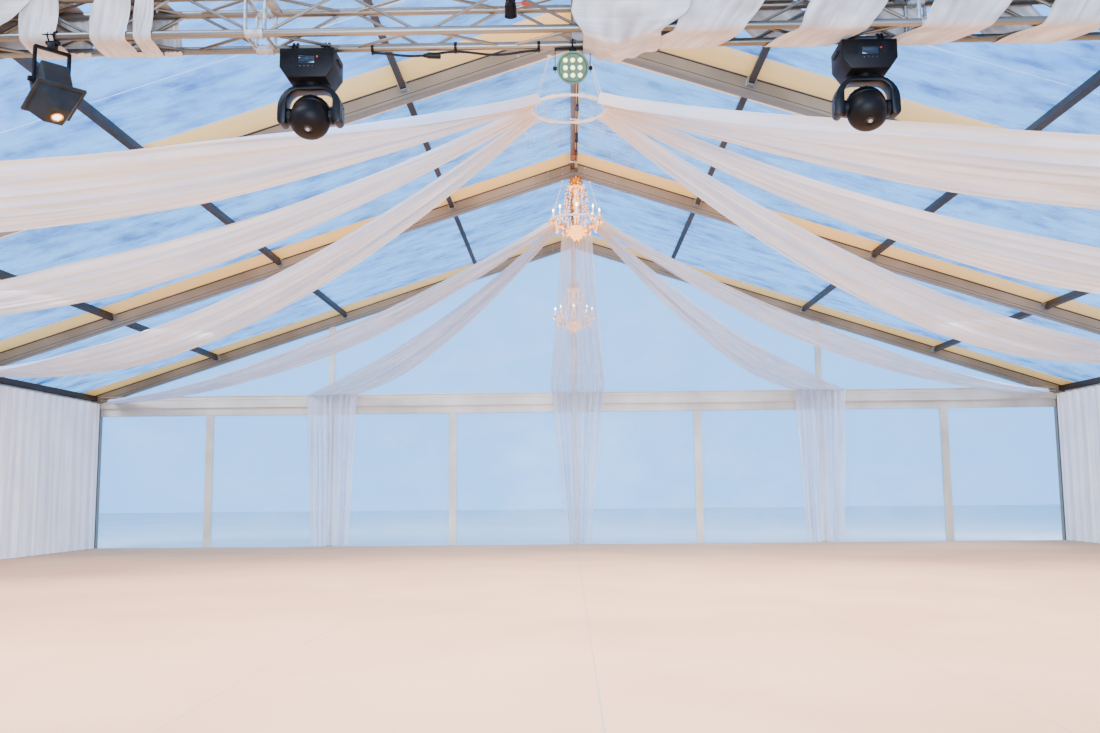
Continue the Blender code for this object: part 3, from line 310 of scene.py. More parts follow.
@dataclass(frozen=True)
class HalfLitFinish(Finish):
    """A bar whose left half has the finish's own colours and whose right half is drawn paler and warmer, as painted
    light.
    """

    # The colour of the painted light on the right half.
    right: str = "#d9bf8c"
    edge_x: float = 0.012

    def tint(self, nodes: Nodes, place: Socket) -> Socket:
        """The finish's own colour left of the edge, and the painted warm light right of it."""
        past = nodes.sum("GREATER_THAN", nodes.axis(nodes.here(), 0), self.edge_x)
        return nodes.mix(past, super().tint(nodes, place), self.right)


@dataclass(frozen=True)
class ClothFinish(Finish):
    """Woven cloth: threads along its UV map in metres, long creases, and a sheerness that the folds break."""

    opacity: float = 1.0
    thread_mm: float = 6.0
    crease_mm: float = 60.0
    # The colour of the painted shade in the creases.
    painted_crease_shade: str = ""
    # The colour of a painted warm glow of lamp light over the first stretch of the cloth, by the hoops.
    glow: str = "#fae3d0"
    glow_m: float = 0.0

    def place(self, nodes: Nodes) -> Socket:
        """The cloth's own UV map, in metres."""
        return nodes.add("UVMap", {}, uv_map="cloth")

    def tint(self, nodes: Nodes, place: Socket) -> Socket:
        """The cloth's colour, with painted shade in its long creases and a painted warm glow over the first stretch
        from its start.
        """
        base = super().tint(nodes, place)
        if self.painted_crease_shade:
            # Painted shade in the long creases.
            folds = nodes.noise(nodes.stretched(place, (1.0, 0.035, 1.0)), 1000 / self.crease_mm, 2.0, 0.55)
            base = nodes.mix(nodes.remap(folds, 0.40, 0.66, 0.0, 0.6), base, self.painted_crease_shade)
        if self.glow_m:
            # A painted warm glow of lamp light over the first stretch from the cloth's start.
            base = nodes.mix(nodes.remap(nodes.axis(place, 1), 0.0, self.glow_m, 0.85, 0.0), base, self.glow)
        return base

    def relief(self, nodes: Nodes, place: Socket) -> Socket:
        """Creases that run along the cloth, with its threads over them."""
        creases = nodes.noise(nodes.stretched(place, (1.0, 0.08, 1.0)), 1000 / self.crease_mm, 2.0, 0.6)
        # The real threads lie about 0.3 mm apart. They are drawn coarser here so that they show.
        return nodes.sum("MULTIPLY_ADD", nodes.noise(place, 1000 / self.thread_mm, 0.0), 0.12, creases)

    def dress(self, nodes: Nodes) -> Socket:
        """Links the cloth's patterns, and lets its creases thicken what shows through."""
        creases = super().dress(nodes)
        if self.opacity < 1.0:
            low, high = self.opacity - 0.10, min(1.0, self.opacity + 0.14)
            nodes.shade({"Alpha": nodes.remap(creases, 0.35, 0.75, low, high)})
        return creases


@dataclass(frozen=True)
class FilmFinish(Finish):
    """Clear flexible film with damp, cloudy patches, a welded seam and an opaque border beside each frame."""

    veil: Pair = (0.30, 0.92)
    sky: float = 0.55
    sky_glow: str = "#0f74ee"
    border_glow: str = "#e8bd62"
    border: str = "#f5d48c"
    border_m: float = 0.60
    seam_m: float = 0.008
    # How far the seam lies from each bay's near frame, since the film is welded from uneven widths.
    seam_at_m: float = 3.15

    def dress(self, nodes: Nodes) -> Socket:
        """Links the patches, borders and seams to the colour and to what shows through."""
        height = super().dress(nodes)
        here = nodes.here()
        patches = nodes.noise(nodes.stretched(here, (0.45, 1.5, 1.0)), 1.9, 3.0, 0.7)
        place = nodes.sum("ADD", nodes.axis(here, 1), ROOF.gable_y)
        edge = nodes.sum("LESS_THAN", nodes.sum("PINGPONG", place, 2.5), self.border_m)
        seam = nodes.sum("COMPARE", nodes.sum("MODULO", place, 5.0), self.seam_at_m, self.seam_m)
        solid = nodes.sum("MAXIMUM", edge, nodes.sum("MULTIPLY", seam, 0.6))
        nodes.shade({
            "Alpha": nodes.sum("MAXIMUM", nodes.remap(patches, 0.42, 0.66, *self.veil), solid),
            "Base Color": nodes.mix(edge, nodes.mix(seam, nodes.colour(), "#ffffff"), self.border),
            # Daylight passes through the film and its borders, which is drawn as a glow of their colours.
            "Emission Color": nodes.mix(edge, linear(self.sky_glow), self.border_glow),
            "Emission Strength": self.sky,
        })
        return height


@dataclass(frozen=True)
class RibbedFinish(Finish):
    """Needled felt with fine ribs along Y, laid in rolls whose joins show as faint lines."""

    rib_mm: float = 24.0
    roll_m: float = 2.0
    join: str = "#b89c89"

    def relief(self, nodes: Nodes, place: Socket) -> Socket:
        """Ribs with the fibres' fuzz over them."""
        # The real ribs lie about 6 mm apart. They are drawn at four times that so that they show.
        ribs = {"Vector": place, "Scale": 1000 / self.rib_mm / TURN, "Distortion": 0.6}
        wave = nodes.add("TexWave", ribs, 1, bands_direction="X")
        return nodes.sum("MULTIPLY_ADD", wave, 0.5, super().relief(nodes, place))

    def tint(self, nodes: Nodes, place: Socket) -> Socket:
        """The felt's colour, with the joins between rolls."""
        near = nodes.sum("LESS_THAN", nodes.sum("PINGPONG", nodes.axis(place, 0), self.roll_m / 2), 0.005)
        return nodes.mix(near, super().tint(nodes, place), self.join)


@dataclass(frozen=True)
class GlassFinish(Finish):
    """Cut glass, which bends light and is a little uneven."""

    ior: float = 1.52
    transmission: float = 1.0
    # Cut glass beside lit lamps sparkles with their light, which is drawn as a warm glow.
    sparkle: float = 0.0
    sparkle_tint: str = "#ffb84a"

    def dress(self, nodes: Nodes) -> Socket:
        """Sets the glass's own values and links its unevenness."""
        nodes.shade({"IOR": self.ior, "Transmission Weight": self.transmission})
        nodes.shade({"Emission Color": linear(self.sparkle_tint), "Emission Strength": self.sparkle})
        return super().dress(nodes)


@dataclass(frozen=True)
class GlowFinish(Finish):
    """A lit lamp, lens or candle tip, brighter in some places than in others, or a part that is drawn with a painted
    glow of lamp light.
    """

    strength: float = 4.0

    def dress(self, nodes: Nodes) -> Socket:
        """Lets the tint shine with one strength."""
        height = super().dress(nodes)
        nodes.shade({"Emission Color": nodes.colour(), "Emission Strength": self.strength})
        return height


# Box profile, extruded and anodised: satin, with drawn streaks along the bar and soft staining.
ANODISED = PortalFinish("anodised aluminium, portal", "#9f9482", "#807665", 0.42, 0.25, 900, 5, 0.12, (1, 1, 1))
# The same metal on the gables and ground rails, drawn paler as a painted lit copy of the portal frames' metal.
ANODISED_PALE = Finish("anodised aluminium, pale", "#dcd6c8", "#c4bcab", 0.40, 0.25, 700, 5, 0.10)
# Extruded bar: brown-grey, drawn dark as painted shade, with rubbed streaks along its length.
PURLIN_PAINTED_SHADE = Finish("anodised aluminium, painted shade", "#463d35", "#2e2822", 0.55, 0.0, 500, 6, 0.25, (1, 0.15, 1), gloss=0.12)
# The ridge bar: the metal drawn dark brown-grey as painted shade, with painted warm light on its right half.
RIDGE = HalfLitFinish("anodised aluminium, ridge", "#6d5b4a", "#4c3f34", 0.42, 0.30, 600, 6, 0.2, (1, 0.15, 1))
# Drawn tube, brushed round: bright, with fine rings of scratches.
BRUSHED = Finish("brushed aluminium tube", "#827e76", "#5a5750", 0.36, 0.85, 350, 3, 0.15, (0.2, 1, 1))
# Hot-dipped steel: dull grey, with the zinc's blotches.
ZINC = Finish("galvanised steel", "#a7a9a8", "#7d7f80", 0.45, 0.75, 60, 2.5, 0.2)
# Calendered clear film: glossy, clouded by damp, with soft waves. Its blue is painted daylight from the sky seen
# through it.
FILM = FilmFinish("clear film, calendered", "#6ab8f6", "#124f90", 0.16, 0.0, 330, 220, 6.0)
GABLE_FILM = FilmFinish(
    "clear film, gable", "#e4f0f8", "#cfe2f0", 0.10, 0.0, 700, 200, 5.0, veil=(0.10, 0.25), border_m=0.0, seam_m=0.0
)
# Coated woven sheet: matt white with the cloth's grid just showing, and a little grime.
COATED = ClothFinish("coated polyester sheet", "#e9e8e4", "#d6d4cd", 0.45, 0.0, 900, 8, 0.25, crease_mm=400)
# Voile: sheer plain weave, with painted shade in its creases and a painted warm glow of lamp light near the hoops.
VOILE = ClothFinish(
    "voile, plain weave", "#e2eeff", "#cfe0f8", 0.85, 0.0, 900, 8, 4.0, sheen=0.4, opacity=0.95,
    crease_mm=150, painted_crease_shade="#aeb6c6", glow_m=1.1,
)
GABLE_VOILE = replace(VOILE, name="voile, gable drapes", relief_mm=3.0, opacity=0.74, crease_mm=60.0, glow_m=0.8)
CENTRE_VOILE = replace(GABLE_VOILE, name="voile, centre drape", opacity=0.6)
# The voile round the hoops, drawn peach: painted warm lamp light, as at the swags' ends.
BINDING = ClothFinish("voile, bound round the hoop", "#f6e6d8", "#ecd0b8", 0.85, 0.0, 120, 8, 2.0, sheen=0.3)
# The white voile wound on the truss, drawn grey-brown as painted shade, with darker painted shade in its creases.
WRAP = ClothFinish(
    "voile on the truss, painted shade", "#bcb9b8", "#998f88", 0.85, 0.0, 260, 8, 3.0, sheen=0.3, crease_mm=45,
    painted_crease_shade="#8d8780",
)
# Satin weave: smooth and white, with painted shade in its upright pleats.
CURTAIN = ClothFinish(
    "polyester satin curtain", "#faf9f9", "#eceaec", 0.7, 0.0, 900, 8, 1.0, sheen=0.4, crease_mm=90,
    painted_crease_shade="#b4bac6",
)
# Needled fibres: quite matt, with ribs, and warmer and cooler patches where it has been walked on.
CARPET = RibbedFinish("needled felt carpet", "#e4ae80", "#daa276", 0.95, 0.0, 1600, 9, 1.0)
BOARDS = Finish("phenolic-faced birch plywood", "#6f6252", "#54493d", 0.55, 0.0, 300, 6, 0.3, (1, 0.1, 1))
# Gilt brass: cast and polished, warm, with a darker tone in its hollows, and a painted glow of the lamps' warm light.
GILT = GlowFinish("gilt brass, lamp-lit", "#eb9a1c", "#a8640c", 0.25, 0.9, 40, 3, 0.15, strength=0.30)
WHITE_ENAMEL = Finish("white enamel", "#f2efe9", "#e2dcd2", 0.35, 0.0, 90, 4, 0.1, coat=0.3)
CANDLE = GlowFinish("candle tube, lit from above", "#fff6e6", "#ffe9c8", 0.5, 0.0, 60, 5, 0.1, strength=0.8)
FLAME = GlowFinish("flame lamp", "#fff0c8", "#ffd98c", 0.3, 0.0, 20, 5, 0.05, strength=24.0)
# Cut and polished by hand: sharp facets that are never quite even.
CRYSTAL = GlassFinish(
    "cut lead glass", "#fff6e0", "#ffdf9e", 0.05, 0.0, 30, 8, 0.1, ior=1.6, transmission=0.5, sparkle=0.9
)
# Powder coat and moulded plastic: black, with a fine orange peel.
BLACK = Finish("black powder coat", "#070708", "#0d0c0e", 0.45, 0.0, 80, 1.8, 0.12, gloss=0.12)
BLACK_PLASTIC = Finish("black moulded ABS", "#060607", "#0c0c0e", 0.36, 0.0, 120, 2.5, 0.06, gloss=0.16)
LENS = GlassFinish("lamp lens, moulded glass", "#9fb2c4", "#cfdbe6", 0.06, 0.0, 30, 12, 0.4, transmission=0.5)
SMOKED = GlassFinish("smoked lens glass", "#0d1218", "#19212a", 0.06, 0.0, 30, 12, 0.1, transmission=0.0)
FLOOD_LIGHT = GlowFinish("flood lens, lit", "#ffffff", "#e8f0ff", 0.2, 0.0, 50, 8, 0.2, strength=2.5)
LED_LIGHT = GlowFinish("led dome, lit", "#f4ffb0", "#e2fa7a", 0.2, 0.0, 8, 3, 0.1, strength=1.6)
LED_RING = Finish("green anodised ring", "#0d4a04", "#062a02", 0.45, 0.0, 30, 2, 0.1)
# Sheet-metal housing, sprayed dark grey: softer and paler than the cast black lamps.
FLOOD_SHELL = Finish("grey sprayed sheet", "#1f2224", "#151718", 0.5, 0.0, 90, 1.8, 0.1, gloss=0.2)
CABLE = Finish("rubber cable sheath", "#0b0b0d", "#151517", 0.6, 0.0, 60, 2, 0.15, gloss=0.2)
STRAP = Finish("woven webbing, orange and black", "#d9722c", "#1b1b1d", 0.8, 0.0, 18, 2, 0.4)
RED_PLASTIC = Finish("red moulded nylon", "#b3261e", "#8f1c17", 0.4, 0.0, 40, 3, 0.1)
STUDIO_FLOOR = Finish("studio floor, matt", "#dcdbd8", "#d4d3d0", 0.8, 0.0, 4000, 40, 0.2)


def frames_along(points: Sequence[Vector]) -> list[Matrix]:
    """Frames that travel along a line of points without twisting.

    Args:
        points: The line's points.

    Returns:
        A matrix for each point, whose Z runs along the line.
    """
    made: list[Matrix] = []
    turn = None
    for i, point in enumerate(points):
        ahead = points[min(i + 1, len(points) - 1)] - points[max(i - 1, 0)]
        if turn is None:
            turn = ahead.to_track_quat("Z", "Y")
        else:
            turn = (turn @ Vector((0, 0, 1))).rotation_difference(ahead) @ turn
        made.append(Matrix.Translation(point) @ turn.to_matrix().to_4x4())
    return made


class Shape:
    """A piece under construction. Each method adds one solid to it and gives the shape back."""

    def __init__(self, base: Matrix | None = None) -> None:
        """Starts an empty shape, whose solids are all placed on a base."""
        self.mesh = bmesh.new()
        self.base = Matrix() if base is None else base

    def merge(self, part: BMesh, at: Matrix | None) -> "Shape":
        """Adds a part, placed by a matrix on the base, and frees it."""
        bmesh.ops.transform(part, matrix=self.base if at is None else self.base @ at, verts=part.verts)
        held = bpy.data.meshes.new("part")
        part.to_mesh(held)
        part.free()
        self.mesh.from_mesh(held)
        bpy.data.meshes.remove(held)
        return self

    def block(
        self, start: Point, end: Point, bevel: float, at: Matrix | None = None, taper: Pair = (1, 1)
    ) -> "Shape":
        """Adds a block between two corners, with its edges rounded and its lower face drawn in by a taper."""
        low, high = Vector(map(min, start, end)), Vector(map(max, start, end))
        part = bmesh.new()
        bmesh.ops.create_cube(part, size=1.0)
        bmesh.ops.scale(part, vec=(*taper, 1), verts=[vert for vert in part.verts if vert.co.z < 0])
        bmesh.ops.scale(part, vec=high - low, verts=part.verts)
        bmesh.ops.translate(part, vec=(low + high) / 2, verts=part.verts)
        self.round_off(part, part.edges[:], bevel)
        return self.merge(part, at)

    @staticmethod
    def round_off(part: BMesh, edges: list[bmesh.types.BMEdge], bevel: float) -> None:
        """Rounds edges, if there is a bevel."""
        if bevel:
            bmesh.ops.bevel(part, geom=edges, offset=bevel, segments=2, profile=0.5, affect="EDGES", material=-1)

    def rod(
        self, start: Point, end: Point, radius: float, sides: int = 12, end_radius: float | None = None,
        at: Matrix | None = None,
    ) -> "Shape":
        """Adds a rod or a cone between two points."""
        first, last = Vector(start), Vector(end)
        far = radius if end_radius is None else end_radius
        part = bmesh.new()
        length = (last - first).length
        bmesh.ops.create_cone(part, cap_ends=True, segments=sides, radius1=radius, radius2=far, depth=length)
        turn = (last - first).to_track_quat("Z", "Y").to_matrix().to_4x4()
        bmesh.ops.transform(part, matrix=Matrix.Translation((first + last) / 2) @ turn, verts=part.verts)
        return self.merge(part, at)

    def turned(self, profile: Sequence[Pair], steps: int = 24, at: Matrix | None = None) -> "Shape":
        """Adds a solid turned about Z from (radius, height) points."""
        part = bmesh.new()
        points = [part.verts.new((radius, 0, z)) for radius, z in profile]
        line = [part.edges.new(pair) for pair in zip(points, points[1:])]
        bmesh.ops.spin(
            part, geom=[*points, *line], cent=(0, 0, 0), axis=(0, 0, 1), angle=TURN, steps=steps, use_merge=True
        )
        bmesh.ops.remove_doubles(part, verts=part.verts, dist=1e-6)
        bmesh.ops.recalc_face_normals(part, faces=part.faces)
        return self.merge(part, at)

    def run(self, points: Sequence[Point], radius: float, sides: int = 8, at: Matrix | None = None) -> "Shape":
        """Adds a tube that follows points."""
        part = bmesh.new()
        bmesh.ops.create_circle(part, cap_ends=True, radius=radius, segments=sides)
        frames = frames_along([Vector(p) for p in points])
        bmesh.ops.transform(part, matrix=frames[0], verts=part.verts)
        face = part.faces[:][0]
        for before, after in zip(frames, frames[1:]):
            made = bmesh.ops.extrude_face_region(part, geom=[face])["geom"]
            old, face = face, next(item for item in made if isinstance(item, bmesh.types.BMFace))
            bmesh.ops.transform(part, matrix=after @ before.inverted(), verts=face.verts[:])
            if before != frames[0] and old.is_valid:
                bmesh.ops.delete(part, geom=[old], context="FACES_ONLY")
        bmesh.ops.recalc_face_normals(part, faces=part.faces)
        return self.merge(part, at)

    def panel(
        self, outline: Sequence[Pair], low: float, high: float, bevel: float, at: Matrix | None = None
    ) -> "Shape":
        """Adds a flat outline in X and Z, with thickness from low to high along Y."""
        part = bmesh.new()
        face = part.faces.new([part.verts.new((x, low, z)) for x, z in outline])
        made = bmesh.ops.extrude_face_region(part, geom=[face])["geom"]
        raised = [item for item in made if isinstance(item, bmesh.types.BMVert)]
        bmesh.ops.translate(part, vec=(0, high - low, 0), verts=raised)
        self.round_off(part, [e for e in part.edges if abs(e.verts[0].co.y - e.verts[1].co.y) < 1e-9], bevel)
        bmesh.ops.recalc_face_normals(part, faces=part.faces)
        return self.merge(part, at)

    def ball(self, centre: Point, size: Point, detail: int = 1, at: Matrix | None = None) -> "Shape":
        """Adds a faceted ball, stretched to a size."""
        part = bmesh.new()
        bmesh.ops.create_icosphere(part, subdivisions=detail, radius=0.5)
        bmesh.ops.scale(part, vec=Vector(size), verts=part.verts)
        bmesh.ops.translate(part, vec=Vector(centre), verts=part.verts)
        return self.merge(part, at)

    def stamp(self, other: "Shape", places: Sequence[Matrix]) -> "Shape":
        """Adds a copy of another shape at each place, and frees the other."""
        held = bpy.data.meshes.new("stamp")
        other.mesh.to_mesh(held)
        other.mesh.free()
        for at in places:
            copy = held.copy()
            copy.transform(at)
            self.mesh.from_mesh(copy)
            bpy.data.meshes.remove(copy)
        bpy.data.meshes.remove(held)
        return self

    def to_mesh(self, name: str) -> bpy.types.Mesh:
        """The finished mesh. The shape is freed."""
        mesh = bpy.data.meshes.new(name)
        self.mesh.to_mesh(mesh)
        self.mesh.free()
        return mesh


@dataclass
class Workshop:
    """Turns shapes into finished pieces, each an object at the origin that rides on its body."""

    materials: dict[Finish, bpy.types.Material] = field(default_factory=dict)
    count: int = 0

    def material(self, finish: Finish) -> bpy.types.Material:
        """The finish's material, made once."""
        if finish not in self.materials:
            self.materials[finish] = finish.build()
        return self.materials[finish]

    def dress(self, nodes: Sequence[str], finish: Finish) -> None:
        """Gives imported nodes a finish."""
        for name in nodes:
            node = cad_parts[name]
            if not node.material_slots:
                node.data.materials.append(None)
            for held in node.material_slots:
                held.material = self.material(finish)
            LOG.info("dressed node %s in %s", name, finish.name)

    def add(
        self, name: str, shape: Shape, finish: Finish, slot: Slot, body: str = "marquee",
        replaces: Sequence[str] = (), smooth: float = 35.0,
    ) -> bpy.types.Object:
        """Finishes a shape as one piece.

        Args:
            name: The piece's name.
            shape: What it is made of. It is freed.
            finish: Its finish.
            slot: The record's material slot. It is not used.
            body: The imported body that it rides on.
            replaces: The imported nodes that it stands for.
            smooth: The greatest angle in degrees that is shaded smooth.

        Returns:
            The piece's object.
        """
        mesh = shape.to_mesh(name)
        mesh.materials.append(self.material(finish))
        mesh.shade_smooth()
        mesh.set_sharp_from_angle(angle=math.radians(smooth))
        piece = bpy.data.objects.new(name, mesh)
        bpy.context.scene.collection.objects.link(piece)
        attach(piece, body)
        if replaces:
            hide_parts(*replaces)
        self.count += 1
        LOG.info("piece %s: %d faces", name, len(mesh.polygons))
        return piece

    def cord(self, name: str, points: Sequence[Vector], radius: float, slot: Slot) -> None:
        piece = self.add(name, Shape().run(points, radius, 10), CABLE, slot)
        length_of(points)

    def cloth(
        self, name: str, grid: tuple[int, int], flat: Pair, place: Place, finish: Finish, held: Held,
        rests_on: Sequence[str], replaces: Sequence[str] = (), slot: Slot = Slot.VOILE, shaped: bool = False,
    ) -> None:
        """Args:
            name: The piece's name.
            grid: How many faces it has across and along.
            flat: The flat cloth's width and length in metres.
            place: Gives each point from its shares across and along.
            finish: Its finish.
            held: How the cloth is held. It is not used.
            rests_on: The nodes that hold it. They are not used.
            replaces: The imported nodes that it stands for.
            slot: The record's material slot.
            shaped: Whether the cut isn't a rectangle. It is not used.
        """
        shape = Shape()
        mesh = shape.mesh
        bmesh.ops.create_grid(mesh, x_segments=grid[0], y_segments=grid[1], size=0.5)
        layer = mesh.loops.layers.uv.new("cloth")
        for face in mesh.faces:
            for loop in face.loops:
                loop[layer].uv = ((loop.vert.co.x + 0.5) * flat[0], (loop.vert.co.y + 0.5) * flat[1])
        for vert in mesh.verts:
            vert.co = place(vert.co.x + 0.5, vert.co.y + 0.5)
        bmesh.ops.recalc_face_normals(mesh, faces=mesh.faces)
        area = sum(face.calc_area() for face in mesh.faces)
        piece = self.add(name, shape, finish, slot, replaces=replaces, smooth=70.0)


@dataclass
class PortalFrames:
    """The portal frames' finish, their splice bolts, and the stakes through their base plates."""

    bolt_radius: float = 0.011
    bolt_height: float = 0.008
    bolt_depths: tuple[float, ...] = (0.075, 0.165)
    apex_bolts: tuple[float, ...] = (0.18, 0.42, 0.66)
    knee_bolts: tuple[float, ...] = (0.22, 0.48, 0.74)
    leg_top: float = 2.85
    stake_radius: float = 0.014
    stake_reach: float = 0.085
    stake_y: float = 0.11

    def build(self, shop: Workshop) -> None:
        """Dresses the frames and adds their bolts and stakes."""
        shop.dress([f"portal_frame_{i + 1}" for i in range(len(ROOF.frame_ys))], ANODISED)
        spots: list[Pair] = []
        for depth in self.bolt_depths:
            spots += [(x, ROOF.below(x, depth)) for x in self.apex_bolts]
            for reach in self.knee_bolts:
                x = ROOF.leg_inner - reach * math.cos(ROOF.pitch)
                spots += [(x, ROOF.below(x, depth)), (ROOF.half_span - depth, self.leg_top - reach)]
        places = [
            shift(side * x, y + face * ROOF.profile_half, z) @ spin(0 if face > 0 else math.pi, "Z")
            for y in ROOF.frame_ys for face in SIDES for side in SIDES for x, z in spots
        ]
        bolt = Shape().rod((0, 0, 0), (0, self.bolt_height, 0), self.bolt_radius, 6)
        bolt.rod((0, 0, 0), (0, 0.002, 0), self.bolt_radius * 1.5, 12)
        shop.add("frame_bolts", Shape().stamp(bolt, places), ZINC, Slot.FRAME)
        stake = Shape().rod((0, 0, 0.006), (0, 0, 0.040), self.stake_radius, 12)
        stake.turned(mm(0, 52, 20, 50, 24, 44, 24, 38, 0, 38), 12)
        reach = ROOF.half_span + self.stake_reach
        places = [
            shift(side * reach, y + end * self.stake_y, 0) for y in ROOF.frame_ys for side in SIDES for end in SIDES
        ]
        shop.add("ground_stakes", Shape().stamp(stake, places), ZINC, Slot.FRAME)


@dataclass
class Purlins:
    """The purlins' finish, and the bracket and two pins at each place where one meets a rafter."""

    depth: float = 0.10
    width: float = 0.07
    bracket_reach: float = 0.11
    plate: float = 0.006

    def bracket(self) -> Shape:
        """One side's bracket about the bar's middle, which stands on a rafter's face and reaches along +Y."""
        half = self.width / 2 + self.plate + 0.001
        foot = self.depth / 2 + 0.012
        shape = Shape().block((-half - 0.016, 0, -foot), (half + 0.016, self.plate, foot), 0.002)
        for side in SIDES:
            shape.block((side * (half - self.plate), 0, -foot), (side * half, self.bracket_reach, foot - 0.03), 0.002)
            shape.rod((side * (half + 0.010), 0.035, -0.012), (side * (half - 0.004), 0.035, -0.012), 0.009, 8)
            pin = ((0.004, 0.075, 0.012), (0.006, 0.078, -0.012), (-0.004, 0.088, -0.024), (-0.012, 0.094, -0.012))
            shape.run([(side * (half + out), y, -foot + rise) for out, y, rise in pin], 0.004, 6)
        return shape.block((-half, 0.02, -foot - 0.004), (half, self.bracket_reach - 0.01, -foot + 0.002), 0.001)

    def build(self, shop: Workshop) -> None:
        """Dresses the bars and adds the brackets."""
        names = [f"{side}_purlin_{i + 1}" for side in ("left", "right") for i in range(3)]
        shop.dress([*names, "left_eave_purlin", "right_eave_purlin"], PURLIN_PAINTED_SHADE)
        under = Vector((0, 0, -(ROOF.cover_drop + 0.003 + self.depth / 2)))
        places = []
        for y, face in ROOF.faces():
            for x in ROOF.purlin_xs:
                for side in SIDES:
                    lean = spin(side * ROOF.pitch, "Y")
                    spot = Vector((side * x, y, ROOF.below(x))) + lean @ under
                    places.append(Matrix.Translation(spot) @ lean @ spin(0 if face > 0 else math.pi, "Z"))
        shop.add("purlin_brackets", Shape().stamp(self.bracket(), places), ZINC, Slot.PURLIN)


@dataclass
class RidgeLine:
    """The ridge bar with its cable, ties, plugs, ratchet strap and the apex brackets."""

    width: float = 0.12
    depth: float = 0.10
    half_length: float = 12.56
    cable_x: float = 0.03
    cable_radius: float = 0.008
    sag: float = 0.062
    tie_ys: Triple = (3.2, 5.1, 7.0)
    plugs: tuple[Pair, ...] = ((4.55, 0.1), (5.75, -0.15), (6.45, 0.2))

    @property
    def top(self) -> float:
        """The height of the bar's top."""
        return ROOF.below(self.width / 2, ROOF.cover_drop + 0.0033)

    def build(self, shop: Workshop) -> None:
        """Makes the bar, its cable and fittings."""
        half, top, long = self.width / 2, self.top, self.half_length
        under = top - self.depth
        bar = Shape()
        for side in SIDES:
            bar.block((side * half, -long, under), (side * 0.004, long, top), 0.004)
        bar.block((-0.006, -long, under + 0.008), (0.006, long, top - 0.004), 0.0)
        shop.add("ridge_bar", bar, RIDGE, Slot.PURLIN, replaces=["ridge_purlin"])
        first, last = self.tie_ys[0], self.tie_ys[-1]
        start = (self.cable_x, first, under - self.cable_radius - 0.001)
        shop.cord("ridge_cable", slack(start, (0, last - first), 24, self.sag), self.cable_radius, Slot.PURLIN)
        plugs = Shape()
        for y, tilt in self.plugs:
            at = shift(self.cable_x, y, under - 0.045) @ spin(tilt, "X")
            plugs.rod((0, -0.10, 0), (0, 0.10, 0), 0.021, 12, at=at)
            plugs.rod((0, -0.14, 0), (0, -0.10, 0), 0.010, 12, 0.019, at=at)
            plugs.rod((0, 0.10, 0), (0, 0.13, 0), 0.026, 12, at=at)
        shop.add("ridge_cable_plugs", plugs, BLACK_PLASTIC, Slot.BLACK)
        ties = Shape()
        for y in self.tie_ys:
            low = (y - 0.008, under - 0.022)
            ties.block((-half - 0.003, *low), (half + 0.003, y + 0.008, under - 0.003), 0.002)
            for side in SIDES:
                ties.block((side * (half + 0.0005), *low), (side * (half + 0.004), y + 0.008, top - 0.01), 0.001)
        shop.add("ridge_cable_ties", ties, WHITE_ENAMEL, Slot.WHITE)
        strap = Shape().block((-0.02, 6.45, under - 0.008), (0.028, 6.95, under - 0.003), 0.001)
        strap.block((-0.022, 6.62, under - 0.034), (0.030, 6.74, under - 0.008), 0.004)
        tail = ((-0.018, 6.95, 0.005), (-0.014, 7.05, 0.03), (-0.010, 7.12, 0.09))
        strap.run([(x, y, under - fall) for x, y, fall in tail], 0.006, 6)
        shop.add("ridge_ratchet_strap", strap, STRAP, Slot.BLACK)
        plates = Shape()
        for near, face in ROOF.faces():
            far, middle = near + face * 0.09, near + face * 0.045
            for side in SIDES:
                inner, outer, bolt = (side * (half + out) for out in (0.001, 0.008, 0.018))
                plates.block((inner, near, under - 0.03), (outer, far, top - 0.012), 0.002)
                plates.rod((side * (half + 0.007), middle, under + 0.03), (bolt, middle, under + 0.03), 0.010, 6)
            plates.block((-half - 0.008, near, under - 0.032), (half + 0.008, far, under - 0.026), 0.002)
        shop.add("apex_brackets", plates, ZINC, Slot.PURLIN)


@dataclass
class RoofCovers:
    """The clear film over each bay, stretched from eave to eave with soft waves over the purlins."""

    half_width: float = 9.98
    lift: float = 0.012

    def build(self, shop: Workshop) -> None:
        """Makes one sheet for each bay."""
        run = 2 * self.half_width / math.cos(ROOF.pitch)
        for index, middle in enumerate(ROOF.bays()):
            phases = draw(40 + index, 4)

            def place(across: float, along: float) -> Vector:
                """A point of the film, which lifts a little between the purlins."""
                x = (across - 0.5) * 2 * self.half_width
                y = (along - 0.5) * 2 * ROOF.half_bay
                wave = 0.5 + 0.25 * math.sin(x * 2.1 + phases[0] + 0.7 * y)
                wave += 0.25 * math.sin(y * 3.3 + phases[1] + 0.6 * x)
                ridge = math.exp(-((y / 0.05) ** 2)) * 0.004
                lift = (self.lift * wave + ridge) * fade(along, 6) * fade(across, 20)
                return Vector((x, middle + y, ROOF.below(x, ROOF.cover_drop) + lift))

            holders = [f"portal_frame_{index + 1}", f"portal_frame_{index + 2}"]
            shop.cloth(
                f"roof_film_{index + 1}", (160, 24), (run, 2 * ROOF.half_bay), place, FILM, Held.STRETCHED, holders,
                [f"roof_cover_{index + 1}"], Slot.CLEAR,
            )


